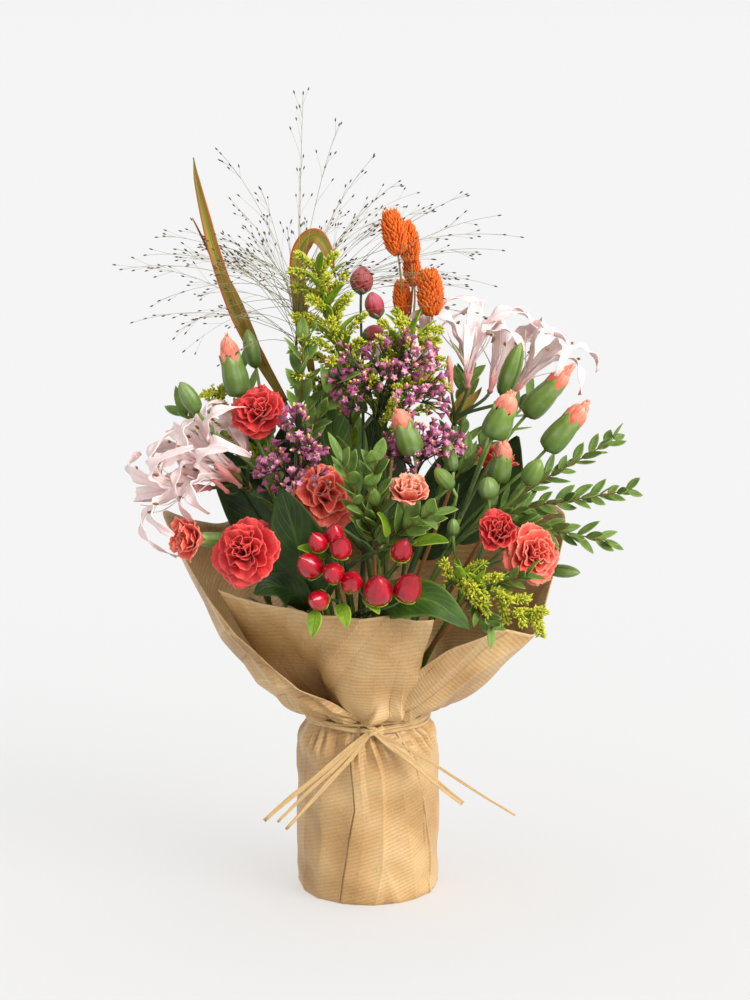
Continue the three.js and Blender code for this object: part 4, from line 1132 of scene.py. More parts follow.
@dataclass(frozen=True)
class WaterFinish(Finish):
    """The water pack: a clear bag, wrinkled and faintly green."""

    deep: Colour
    pale: Colour

    def sockets(self, s: Shader) -> dict:
        """One noise gives the tone and the wrinkles.

        Args:
            s: the shader to add nodes to.

        Returns:
            What the sockets take, by name.
        """
        wrinkle = s.noise(60, detail=5, rough=0.6)
        return {
            "Base Color": s.mix(wrinkle.rise(0.35, 0.7), self.deep, self.pale),
            "Roughness": wrinkle * 0.2 + 0.08,
            "Normal": s.bump(wrinkle, 0.004, 0.6),
            "Transmission Weight": 0.35,
            "IOR": 1.34,
            "Coat Weight": 0.5,
            "Coat Roughness": 0.06,
        }


@dataclass(frozen=True)
class FloorFinish(Finish):
    """A plain pale floor that fades to the sky's tone far away, so that no horizon shows."""

    near: Colour
    far: Colour
    fade: tuple[float, float] = (6.5, 30.0)  # metres away

    def sockets(self, s: Shader) -> dict:
        """The tone changes with the distance from the bouquet.

        Args:
            s: the shader to add nodes to.

        Returns:
            What the sockets take, by name.
        """
        away = s.add("ShaderNodeVectorMath", {"operation": "LENGTH"}, {0: s.place()})
        share = Value(s, away.outputs["Value"]).rise(*self.fade)
        return {"Base Color": s.mix(share, self.near, self.far), "Roughness": 0.9, "Specular IOR Level": 0.1}


FINISHES = {
    "kraft": PaperFinish((126, 84, 34), (190, 150, 96), (224, 194, 144)),
    "raffia": RaffiaFinish((140, 98, 48), (204, 164, 104), (232, 204, 152)),
    "water_bag": WaterFinish((186, 204, 190), (224, 234, 226)),
    "coral_petal": PetalFinish((134, 0, 14), (210, 16, 28), (240, 88, 78), 0.92, streak=0.4),
    # A lighter copy of the coral petals: painted light for the blooms that wear it.
    "bright_petal": PetalFinish((182, 18, 16), (238, 66, 46), (252, 152, 124), 0.88, streak=0.45),
    "salmon_petal": PetalFinish((200, 48, 36), (238, 104, 78), (254, 184, 150), 0.6, streak=0.7),
    "nerine_petal": PetalFinish(
        (238, 176, 170), (254, 234, 231), (250, 213, 209), 0.8, streak=0.12, vein=0.35, rough=0.46, glow=0.55
    ),
    "nerine_bud": PetalFinish((180, 84, 80), (218, 128, 122), (240, 180, 168), 0.6, vein=0.4),
    "anther": FloretFinish((96, 84, 36), (150, 96, 52), (186, 140, 84)),
    "filament": PetalFinish((240, 190, 186), (248, 222, 216), (250, 230, 226)),
    "spathe": BladeFinish((138, 122, 34), (190, 166, 60), (196, 124, 76), 0.7),
    "calyx": StemFinish((78, 106, 30), (126, 150, 56), (66, 96, 32), 10, 0.3, 0.12, 0.42),
    "carnation_leaf": BladeFinish((52, 82, 38), (92, 124, 68), (124, 150, 84), 0.85),
    "stem": StemFinish((50, 74, 20), (80, 108, 34), (42, 62, 20), 7, 0.4, 0.04, 0.42),
    "orange_scale": FloretFinish((140, 36, 2), (226, 92, 6), (248, 138, 26), 0.75, 0.45),
    "straw": StemFinish((124, 112, 50), (158, 126, 66), (110, 84, 44), 5, 0.4, 0.0, 0.6),
    "grass_hair": StemFinish((176, 174, 116), (180, 166, 124), (160, 144, 104), 3, 0.3, 0.0, 0.6),
    "grass_seed": FloretFinish((44, 30, 22), (70, 48, 34), (120, 92, 66)),
    "strap_leaf": BladeFinish((110, 102, 18), (172, 154, 54), (186, 92, 34), 0.62),
    "goldenrod_floret": FloretFinish((104, 128, 20), (184, 188, 34), (230, 222, 70), 0.66, 0.6),
    "limonium_calyx": FloretFinish((106, 28, 66), (204, 98, 148), (244, 184, 212), 0.72, 0.8),
    "limonium_eye": FloretFinish((190, 120, 20), (236, 190, 60), (250, 232, 170)),
    "wiry_stem": StemFinish((38, 60, 20), (58, 62, 26), (30, 40, 18), 4, 0.4, 0.0, 0.5),
    # The berry's third colour is its painted highlight.
    "hypericum_berry": BerryFinish((112, 0, 14), (188, 4, 34), (236, 74, 84)),
    "lime_sepal": LeafFinish((78, 112, 16), (136, 166, 38), (150, 172, 50), (110, 138, 40), 5),
    "crimson_petal": PetalFinish((104, 2, 24), (176, 14, 50), (222, 122, 130), 0.55, streak=0.6),
    "grey_leaf": LeafFinish((78, 96, 58), (120, 138, 92), (144, 150, 104), (142, 156, 118), 6),
    "broad_leaf": LeafFinish(
        (20, 38, 4), (40, 66, 10), (46, 68, 12), (76, 100, 30), slant=1.1, veins=0.35, rough=0.5
    ),
    "light_leaf": LeafFinish(
        (36, 62, 10), (66, 98, 22), (78, 104, 28), (110, 134, 52), slant=1.1, veins=0.4, rough=0.45
    ),
    "eucalyptus_leaf": LeafFinish(
        (66, 96, 32), (128, 156, 72), (138, 162, 76), (148, 168, 98),
        pitch=7, slant=0.8, veins=0.25, rim_from=0.99, tip_tint=0.4, rough=0.36,
    ),
    "twig": StemFinish((110, 84, 34), (160, 98, 44), (92, 66, 28), 4, 0.4, 0.0, 0.55),
    "floor": FloorFinish((203, 203, 203), (180, 180, 180)),
}


class Finishes:
    """The materials of the bouquet, built once each and read as attributes."""

    def __init__(self) -> None:
        """Builds the materials."""
        self.made = {name: finish.material(name) for name, finish in FINISHES.items()}

    def __getattr__(self, name: str) -> Material:
        """The material of one finish."""
        return self.made[name]


# ---- Kraft paper ----


class Fold(Enum):
    """What a line up the sleeve is, as rows of [degrees, millimetres out] that are added to the line."""

    BEND = ((0.0, 0.0),)
    LAP = ((-1.3, -0.7), (-0.2, -2.0), (0.3, 0.0))  # the layer on the right lies over the left one
    TUCK = ((-2.8, -0.4), (-2.1, 0.5), (-0.6, 0.5), (0.0, -2.0), (1.5, -0.7))  # a turned rim over the right


@dataclass(frozen=True)
class Crease:
    """A fold line up the sleeve: rows of [height, degrees, millimetres out], and its kind."""

    rows: tuple[Point, ...]
    kind: Fold = Fold.BEND


@dataclass
class KraftWrap:
    """The crumpled paper: a pleated sleeve round the water pack, then two overlapping flared sheets."""

    finishes: Finishes
    thickness: float = 0.55
    neck: float = 35.7  # radius at the tie
    girth: float = 42.2  # radius of the base
    shoulder: float = 88.0  # where the sleeve starts to draw in
    tie: float = 107.5
    top: float = 112.5
    column: float = 0.95  # between the sleeve's columns
    lap: int = 11  # the crease at which the ribs change their slant
    slants: tuple[float, float] = (0.3, 0.03)  # the ribs' climb for each millimetre round, before and past it
    gather: float = 3.0  # depth of the gathers below the tie
    dents: tuple[float, float] = (0.9, 0.5)
    clearance: float = 0.5  # from the water pack
    facets: tuple = (
        (-180, 40), (-156, 37), (-130, 38), (-112, 42), (-93, 42.5), (-60, 42), (-34, 42), (-10, 41.5),
        (20, 40.5), (55, 40), (90, 39), (125, 39), (155, 40), (180, 40),
    )
    creases: tuple = (
        Crease(((0, -236, 0.3), (66, -247, 0.8), (107, -242, 0.4)), Fold.LAP),
        Crease(((0, -208, 0.3), (60, -200, 0.9), (107, -206, 0.6))),
        Crease(((0, -184, 1.2), (30, -182, 1.3), (84, -178, 1.3), (107, -176, 0.6))),
        Crease(((0, -160, 0.3), (50, -156, 0.6), (107, -158, 0))),
        Crease(((0, -138, 0.9), (40, -130, 0.75), (84, -134, 1.0), (107, -136, 0.6))),
        Crease(
            ((0, -113.5, 0.9), (40, -105.6, 1.1), (60, -100.5, 1.2), (84, -103, 1.2), (107, -105.5, 0.6)),
            Fold.LAP,
        ),
        Crease(((0, -100, 0.35), (48, -93, 0.35), (66, -94, 1.0), (86, -97.5, 1.5), (107, -98.5, 1.0))),
        Crease(((0, -94, 0.3), (48, -86, 0.2), (84, -92.5, 0.1), (107, -94.5, 0))),
        Crease(((0, -84, 0.9), (24, -77.6, 1.2), (62, -77, 1.4), (84, -79, 1.5), (107, -89, 1.0))),
        Crease(((0, -62, 0.9), (24, -76.2, 0.9), (62, -74.5, 0.5), (84, -76.5, 0.5), (107, -86.5, 0.2))),
        Crease(((0, -46, 0.6), (20, -50, 0.7), (66, -59, 0.2), (90, -66, 0.8), (107, -71, 0.6))),
        Crease(((0, -25, 0.9), (30, -26, 1.3), (84, -45, 1.5), (107, -61, 0.8)), Fold.TUCK),
        Crease(((0, -13, 0.5), (40, -12, 0.3), (84, -25, 0.2), (107, -44, 0.2))),
        Crease(((0, 1, 1.0), (60, 0, 1.3), (84, -4, 1.2), (107, -20, 0.7))),
        Crease(((0, 26, 0.4), (50, 30, 0.6), (107, 20, 0.4))),
        Crease(((0, 47, 0.5), (55, 38, 0.9), (107, 44, 0.6)), Fold.LAP),
        Crease(((0, 80, 0.8), (50, 92, 1.0), (107, 84, 0.6))),
        Crease(((0, 100, 0.3), (107, 106, 0.2))),
    )
    wrap_rim: tuple = (
        (260, 38, 118), (243, 54, 130), (221, 79, 152), (202, 104, 194), (190, 117, 222), (180, 125, 238),
        (168, 112, 226), (155, 101, 218), (122, 92, 222), (90, 88, 232), (60, 94, 228), (30, 108, 230),
        (14, 118, 234), (5, 123, 229), (-3, 109, 190), (-12, 104, 164), (-30, 90, 174), (-50, 74, 163),
        (-60, 54, 147), (-70, 45, 134),
    )
    front_rim: tuple = (
        (204, 98, 197), (219, 92, 196), (237, 81, 191), (257, 74, 189), (280, 72.5, 188), (303, 71, 184),
    )

    def polygon(self, heights: Array) -> tuple[Array, Array]:
        """The polygon through the creases at each height, cut into columns that follow the creases.

        Args:
            heights: where the rings lie.

        Returns:
            (rings, columns) radii and angles.
        """
        plain = blend(self.girth, self.neck, smooth(self.shoulder, self.tie, heights[:, None]) ** 1.5)
        lines = [(at(*crease.rows).T, shift) for crease in self.creases for shift in crease.kind.value]
        turns, out = (
            np.stack([np.interp(heights, row[0], row[k] + shift[k - 1]) for row, shift in lines], axis=1)
            for k in (1, 2)
        )
        turned_to = np.radians(turns)
        corner = (plain + out)[..., None] * np.stack([np.cos(turned_to), np.sin(turned_to)], axis=-1)
        middle = turns.mean(axis=0)
        gaps = np.radians(np.diff(middle, append=middle[0] + 360)) * self.girth / self.column
        pick = np.concatenate([
            index + np.linspace(0, 1, max(1, round(gap)), endpoint=False) for index, gap in enumerate(gaps)
        ])
        below = pick.astype(int)
        flat = blend(corner[:, below], corner[:, (below + 1) % len(lines)], (pick - below)[:, None])
        angle = np.unwrap(np.arctan2(flat[..., 1], flat[..., 0]), axis=1)
        angle = angle - TURN * np.round((angle[:, :1] - turned_to[:, :1]) / TURN)
        return np.linalg.norm(flat, axis=-1), angle

    def pack_reach(self, z: Array, angle: Array) -> Array:
        """How far out the water pack comes: its facets, part smoothed, and then its plain neck.

        Args:
            z: heights.
            angle: angles round the axis, in radians.

        Returns:
            The radius at each place.
        """
        facet_degrees, facet_radius = at(*self.facets).T
        around = np.arange(-180, 180)
        facets = np.interp(around, facet_degrees, facet_radius)
        facets = facets * 0.7 + 0.3 * np.convolve(np.tile(facets, 3), np.ones(13) / 13, "same")[360:720]
        facets = np.interp(np.degrees(angle), around, facets, period=360)
        gap = np.interp(z, [0, 88, 102], [2.2, 2.2, 4.0])
        return blend(facets - gap, 33.9, np.clip((z - 102) / 4.2, 0, 1))

    def sleeve(self) -> Skin:
        """The sleeve: flat panels between the creases, drawn in at the foot, the shoulder and the tie.

        Soft dents (products of sines), then gathers that fan out below the tie, are added to the polygon's
        radius. It never comes nearer to the water pack than its clearance. An inner wall closes it.

        Returns:
            The sleeve's skin.
        """
        foot = [0.0, 0.3, 1.0, 2.2]
        heights = np.concatenate([foot, np.linspace(4, 90, 44), np.linspace(91.2, self.top, 26)])
        z = heights[:, None]
        flat, angle = self.polygon(heights)
        arc = angle * self.girth
        large, small = self.dents
        dents = large * np.sin(arc / 6.5 + z / 8 + 1.5 * np.sin(z / 15)) * np.sin(z / 12 - arc / 17)
        dents = dents + small * np.sin(arc / 11 - z / 21) * np.sin(z / 19 + arc / 27 + 2)
        radius = flat + dents * smooth(1, 10, z) * (1 - smooth(100, 107, z))
        radius = radius - 1.2 * (1 - smooth(0, 2, z))
        radius = np.maximum(radius, self.pack_reach(z, angle) + self.thickness + self.clearance)
        gather = self.gather * folds(angle[-1] * self.neck, 8.5, 5)
        gather = gather * smooth(84, 102, z) * (1 - 0.6 * smooth(103, 109, z))
        radius = np.minimum(radius + gather, blend(43.9, 38.6, smooth(99, 109, z)))
        inner = np.array([self.top, 108.0, 100.0, 60.0, 4.0, 1.2])
        inside = np.interp(inner, heights, np.arange(len(heights))).round().astype(int)
        below_tie = (inner < 105)[:, None]
        radius = np.concatenate([radius, radius[inside] - self.thickness - 0.3 * below_tie])
        angle = np.concatenate([angle, angle[inside]])
        level = np.concatenate([heights, inner])[:, None] + 0 * angle
        rings = np.stack([radius * np.cos(angle), radius * np.sin(angle), level], axis=-1)
        lap_heights, lap_degrees, _ = at(*self.creases[self.lap].rows).T
        past = (angle - np.radians(np.interp(level, lap_heights, lap_degrees))) * self.girth
        slant = np.where(past > 0, self.slants[1], self.slants[0])
        # Curl is positive on ridges and negative in valleys; the paper paints a highlight on ridges and shade
        # in valleys from it.
        curl = 2 * radius - np.roll(radius, 1, axis=1) - np.roll(radius, -1, axis=1)
        grain = np.stack([angle * self.girth, level - slant * past, np.clip(curl * 1.1, -0.9, 0.55)], axis=-1)
        return wrapped(rings[None], grain[None], at((0, 0, 0), (0, 0, 0.8))[None])

    def flap(
        self, rim: Sequence[Sequence[float]], steepness: float, columns: int, rows: int, seed: int,
        slant: float, inside: float, pleat: float, hollow: float = 0.0, roll: float = 0.0,
    ) -> Skin:
        """One flared sheet: out from the tie first, then steeper, with pleats that fan out from the tie.

        Radius is the straight mix of the neck and the rim, and height the mix by the share to a power. Pleats
        move the sheet along its slope's normal and are deepest a third of the way up.

        Args:
            rim: rows of [degrees, radius, height].
            steepness: the power.
            columns: points round.
            rows: points up.
            seed: seeds the pleats.
            slant: how much the ribs climb for each millimetre round.
            inside: how far inside the neck the sheet starts.
            pleat: depth of the pleats.
            hollow: how far the sheet sinks in beside its left edge.
            roll: how far a tongue of it folds over just above the tie.

        Returns:
            The sheet.
        """
        around, out, up = at(*sorted(rim)).T
        degrees = np.linspace(around[0], around[-1], columns)
        soften = np.ones(9) / 9
        reach, tall = (
            np.convolve(np.pad(np.interp(degrees, around, values), 4, "edge"), soften, "valid")
            for values in (out, up)
        )
        s = np.linspace(0, 1, rows)[:, None]
        arc = np.radians(degrees)[None]
        wave = folds(arc * 40 + 7 * s * np.sin(arc * 5), 19.0, seed) - 0.5
        minor = folds(arc * 40 + 22 * s, 10.0, seed + 1) - 0.5
        dimple = folds(arc * 55 - 60 * s, 33.0, seed + 2) + folds(arc * 45 + 75 * s, 41.0, seed + 3) - 1
        depth = smooth(0.0, 0.1, s) * (0.1 + 0.9 * np.exp(-(((s - 0.22) / 0.22) ** 2)))
        beside = (np.degrees(arc) - 263 - 45 * s) * 0.9
        beside = np.exp(-((beside / np.where(beside > 0, 26, 1.6)) ** 2))
        tongue = roll * beside * np.exp(-(((s - 0.17) / 0.12) ** 2))
        swing = pleat * (depth * wave + 0.35 * depth**3 * minor + 0.5 * dimple * smooth(0.15, 0.5, s))
        rise = np.clip((s - 0.03) / 0.97, 0, 1)
        sunk = hollow * np.exp(-(((np.degrees(arc) - 224) / 17) ** 2)) * np.sin(math.pi * s**0.8)
        radius = blend(self.neck - inside, reach, rise**0.97) + swing * 0.85 - sunk + tongue
        height = blend(114.0, tall, rise**steepness) - 5.5 * (1 - smooth(0, 0.05, s)) - swing * 0.5
        grid = np.stack([radius * np.cos(arc), radius * np.sin(arc), height], axis=-1)
        grain = np.zeros(grid.shape)
        length = np.hypot(reach - self.neck, tall - 114)
        grain[..., 0] = arc * 60
        grain[..., 1] = s * length + slant * arc * 60
        # The bends, and the lip's top rows, feed the fold channel: a painted highlight on ridges and the lip,
        # painted shade in valleys.
        bent = np.diff(swing, 2, axis=1, prepend=swing[:, :1], append=swing[:, -1:])
        grain[..., 2] = np.clip(-4 * bent + smooth(0.975, 1.0, s), -1, 1)
        return sheets(grid[None], self.thickness, grain[None])

    def build(self) -> None:
        """Makes the wrap."""
        paper = self.finishes.kraft
        flared = [
            (self.flap(self.wrap_rim, 1.8, 400, 60, 21, 0.35, 0.1, 4.8), paper),
            (self.flap(self.front_rim, 1.5, 170, 46, 31, 0.1, 1.0, 4.0, 21.0, 9.0), paper),
        ]
        make_piece("kraft_sleeve_paper", [(self.sleeve(), paper)], ["kraft_paper_wrap"])
        make_piece("kraft_flared_paper", flared, ["kraft_paper_wrap"])


@dataclass
class RaffiaTie:
    """Raffia: three strands round the neck, a knot in front, and loose tails."""

    finishes: Finishes
    knot: Point = (3, -39.6, 110)
    tails: tuple = (
        ((-22, -47, 92), (-62, -55, 58), 3.2), ((-19, -48, 90), (-54, -56, 58), 2.2),
        ((-15, -49, 88), (-49, -57, 54), 2.6), ((24, -47, 94), (57, -51, 68), 4.2),
        ((34, -48, 96), (88, -60, 63), 1.6),
    )
    strands: tuple = ((38.0, 108.6, 2.4), (38.3, 110.6, 2.6), (37.9, 112.3, 2.0))  # radius, height, width

    def ring(self, radius: float, height: float, width: float, index: int) -> Skin:
        """One strand round the neck: a flat band on a circle that wanders a little up and down.

        Args:
            radius: the circle's radius.
            height: how high it lies.
            width: the strand's width.
            index: which strand, so that each wanders its own way.

        Returns:
            The strand.
        """
        angle = np.linspace(0, TURN, 121)
        wander = 0.7 * np.sin(2 * angle + index * 2) + 0.4 * np.sin(5 * angle + index)
        reach = radius + 0.25 * np.sin(9 * angle + index)
        path = np.stack([reach * np.cos(angle), reach * np.sin(angle), height + wander], axis=-1)
        ring = circle(8)
        out = np.stack([np.cos(angle), np.sin(angle), 0 * angle], axis=-1)
        rings = path[:, None] + out[:, None] * (0.55 * np.cos(ring))[None, :, None]
        rings = rings - UP * (0.5 * width * np.sin(ring))[None, :, None]
        grain = grain_for(1, len(angle), 8, 0.3 * index, closed=True)
        grain[..., 1] *= 8
        return wrapped(rings[None], grain, path[[0, -1]][None])

    def build(self) -> Object:
        """Makes the tie.

        Returns:
            The new object.
        """
        knot = at(self.knot)
        parts = [self.ring(*row, index) for index, row in enumerate(self.strands)]
        for index, (middle, tip, width) in enumerate(self.tails):
            t = np.linspace(0, 1, 26)
            path = arch(knot, at(middle), at(tip), 25) + 0.5 * np.sin(9 * t + index)[:, None] * UP
            taper = width * (0.75 + 0.25 * np.sin(np.linspace(0.3, 2.6, 26))) * (1 - 0.3 * t**4)
            face = at(0.15 * math.sin(index), -1, 0.3)
            parts.append(blades(path, taper, face, fold=0.35, thick=0.6, columns=5, picks=0.2 * index))
        turn = np.linspace(-0.45, 0.45, 15)[:, None]
        for index, (tilt, offset) in enumerate(((0.5, -1.5), (-0.55, 1.4), (0.05, 0.0))):
            across = np.cos(tilt) * at(1, 0, 0) + np.sin(tilt) * UP
            ahead = at(0, 1.4, 0) - at(0, 2.4, 0) * (1 - (turn / 0.45) ** 2)
            bow = knot + across * (turn * 15) + UP * offset + ahead
            parts.append(tubes(bow, 1.6 - 0.5 * np.abs(turn[:, 0]), 8, 0.3 * index))
        dressed = [(part, self.finishes.raffia) for part in parts]
        return make_piece("raffia_strands", dressed, ["raffia_tie"])


# ---- Spray carnations ----


@dataclass(frozen=True)
class Whorl:
    """One ring of petals: its count, tilts at foot and tip in degrees, and shares of the bloom's radius."""

    count: int
    tilt_foot: float
    tilt_tip: float
    length: float
    width: float
    lift: float = 0.0
    ruffle: float = 0.11
    ring: float = 0.55  # where the petals stand, as a share of the calyx's mouth
    curl: float = 1.3  # how late the tilt comes


PETAL_THICKNESS = 0.24
FULL_BLOOM = (
    Whorl(6, 52, 112, 1.08, 1.3, -0.02, 0.06),
    Whorl(6, 46, 94, 1.1, 1.25, 0.03, 0.08),
    Whorl(6, 34, 72, 1.05, 1.1, 0.07, 0.1),
    Whorl(5, 20, 48, 1.0, 1.0, 0.12, 0.12),
    Whorl(5, 6, 24, 0.92, 0.85, 0.16, 0.14),
    Whorl(3, 0, 6, 0.86, 0.6, 0.18, 0.14, 0.2),
)
HALF_BLOOM = (
    Whorl(6, 22, 64, 1.3, 1.15, -0.05, 0.07),
    Whorl(5, 18, 42, 1.3, 1.05, 0.06, 0.1),
    Whorl(5, 10, 26, 1.25, 0.9, 0.1, 0.12),
    Whorl(5, 4, 8, 1.15, 0.75, 0.14, 0.12, 0.35),
)
BUD_TIP = (
    Whorl(5, 4, -66, 1.16, 1.0, 0.0, 0.04, 0.88, 3.0),
    Whorl(4, 4, -48, 1.2, 0.9, 0.0, 0.05, 0.62, 3.0),
    Whorl(3, 2, -14, 1.16, 0.6, 0.0, 0.05, 0.32, 3.0),
)


class Tint(Enum):
    """The finish of a bloom's petals."""

    CORAL = "coral_petal"
    # Coral petals painted lighter, standing in for the light that these blooms take.
    BRIGHT = "bright_petal"
    SALMON = "salmon_petal"


def ruffled_petals(
    base: Array, facing: Array, radius: float, mouth: float, whorls: Sequence[Whorl], seed: int
) -> Skin:
    """Fan-shaped petals with a toothed, ruffled edge.

    The midrib's tilt runs from foot to tip with a power of the way, and its points are the running sum
    of that slope. The fan grows from a narrow claw and bends round the axis. A toothed wave cuts its edge,
    and the ruffle is a wave across that grows along the petal.

    Args:
        base: where the petals leave the calyx.
        facing: the bloom's axis.
        radius: the bloom's radius.
        mouth: radius of the calyx's mouth.
        whorls: rings of petals, outermost first.
        seed: seeds the draws.

    Returns:
        One skin of all the petals.
    """
    rng = np.random.default_rng(seed)
    counts = [w.count for w in whorls]
    k = sum(counts)
    draws = rng.uniform(0, 1, (9, k, 1, 1))
    each = np.repeat([astuple(w) for w in whorls], counts, axis=0).T[..., None, None]
    _, feet, tips, lengths, widths, lifts, ruffles, rings, curls = each
    azimuth = np.concatenate([TURN * (np.arange(n) + 0.4 * i) / n for i, n in enumerate(counts)])
    azimuth = azimuth[:, None, None] + 0.7 * draws[0] - 0.35
    rows, columns = 12, 21
    v = lengthwise(rows)
    u = crosswise(columns)
    tilt = np.radians(feet + (tips - feet) * v**curls * (0.78 + 0.4 * draws[1]))
    length = radius * lengths * (0.86 + 0.22 * draws[2])
    teeth = 0.045 * np.abs(np.sin(u * 8 + 3 * draws[3])) + 0.03 * np.abs(np.sin(u * 15 + 3 * draws[4]))
    step = length / (rows - 1)
    up = np.cumsum(np.cos(tilt) * step, axis=1) - np.cos(tilt[:, :1]) * step
    out = np.cumsum(np.sin(tilt) * step, axis=1) - np.sin(tilt[:, :1]) * step
    shorten = 1 - (teeth + 0.2 * u**2) * v**3
    half = 0.5 * radius * widths * (0.16 + 0.84 * smooth(0.0, 0.85, v) ** 0.8)
    wave = np.sin(u * (2.4 + 2.2 * draws[5]) + 6 * draws[6])
    wave = wave + 0.5 * np.sin(u * (6 + 3 * draws[7]) + 6 * draws[8])
    ruffle = radius * ruffles * wave * v**1.5 + 0.12 * half * u**2
    reach = rings * mouth + out * shorten
    uneven = lifts + 0.1 * draws[6] * (rings < 0.8) * v
    rise = up * shorten + radius * uneven + np.abs(np.sin(tilt)) * ruffle
    round_axis = azimuth + half * u / np.maximum(reach, 0.62 * half)
    reach = reach - np.cos(tilt) * ruffle
    frames = axes_for(facing)[0]
    radial = np.cos(round_axis)[..., None] * frames[0] + np.sin(round_axis)[..., None] * frames[1]
    grids = base + rise[..., None] * frames[2] + reach[..., None] * radial
    return sheets(grids, PETAL_THICKNESS, grain_for(k, rows, columns, draws[1].ravel()))


def calyx(origin: Array, facing: Array, length: float, mouth: float, belly: float, seed: int = 0) -> Skin:
    """A green cup: a ribbed tube that swells to its belly, with five teeth at its mouth and a hollow inside.

    Args:
        origin: its foot.
        facing: its axis.
        length: from foot to mouth.
        mouth: radius of the mouth.
        belly: largest radius.
        seed: seeds the turn.

    Returns:
        The cup.
    """
    sides = 30
    angle = circle(sides)
    rows = at(
        (0.22, 0), (0.5, 0.02), (0.78, 0.07), (0.92, 0.16), (1.0, 0.32), (0.99, 0.5), (0.95, 0.68),
        (0.97, 0.86), (1.0, 0.97), (0.92, 0.99), (0.75, 0.86), (0.3, 0.6),
    )
    rows[:7, 0] *= belly
    rows[7:, 0] *= mouth
    rows[:, 1] *= length
    teeth = 1 - 2 * np.abs((angle * 5 / TURN) % 1 - 0.5)
    weight = np.zeros((len(rows), 1))
    weight[7:11, 0] = (0.3, 1.0, 1.0, 0.2)
    ribs = 1 + 0.025 * np.cos(angle * 10) * (rows[:, :1] > 0.3)
    lift = weight * teeth * 0.24 * length
    return turned(origin, axes_for(facing, seed), rows, sides, 0.4, ribs, lift)


def bracts(origin: Array, facing: Array, length: float, width: float, turn: float) -> Skin:
    """Four small pointed scales that hug the foot of a calyx.

    Args:
        origin: the foot of the calyx.
        facing: its axis.
        length: how long the scales are.
        width: how wide they are.
        turn: how far they are turned round the axis, in radians.

    Returns:
        The scales.
    """
    frames = axes_for(facing)[0]
    azimuth = turn + np.arange(4) * TURN / 4
    radial = np.cos(azimuth)[:, None] * frames[0] + np.sin(azimuth)[:, None] * frames[1]
    s = lengthwise(7)
    out = width * (0.25 + 0.62 * smooth(0, 0.5, s) + 0.25 * s**3)
    paths = origin + frames[2] * (length * s) + radial[:, None] * out
    widths = width * 1.1 * leaf_widths(7, 0.35)
    return blades(paths, widths, -radial, fold=0.25, thick=0.5, columns=5, picks=0.3)


def closed_bud(origin: Array, facing: Array, length: float, radius: float, seed: float) -> Skin:
    """A green bud: an egg with five ridges that meet at its tip.

    Args:
        origin: its foot.
        facing: its axis.
        length: how long it is.
        radius: its radius where it is widest.
        seed: how far it is turned round its axis, in radians.

    Returns:
        The bud.
    """
    sides = 25
    angle = circle(sides)
    rows = at(
        (0.2, 0), (0.55, 0.03), (0.84, 0.12), (0.98, 0.28), (1.0, 0.45), (0.9, 0.64), (0.68, 0.8),
        (0.42, 0.91), (0.2, 0.97), (0.05, 1.0),
    ) * at(radius, length)
    ribs = 1 + 0.06 * np.abs(np.cos(angle * 2.5)) * np.linspace(0.3, 1.6, len(rows))[:, None] - 0.04
    return turned(origin, axes_for(facing, seed), rows, sides, 0.5, ribs)


@dataclass(frozen=True)
class Bloom:
    """An open bloom: its node's number, middle, axis, width, how open it is, and where its stalk leaves."""

    number: int
    centre: Point
    axis: Point
    size: float
    branch: float
    whorls: tuple = FULL_BLOOM
    tint: Tint = Tint.CORAL


@dataclass(frozen=True)
class Bud:
    """A bud from foot to tip, its width, where its stalk leaves, and the number of a coloured tip's node."""

    foot: Point
    tip: Point
    width: float
    branch: float
    number: int = 0


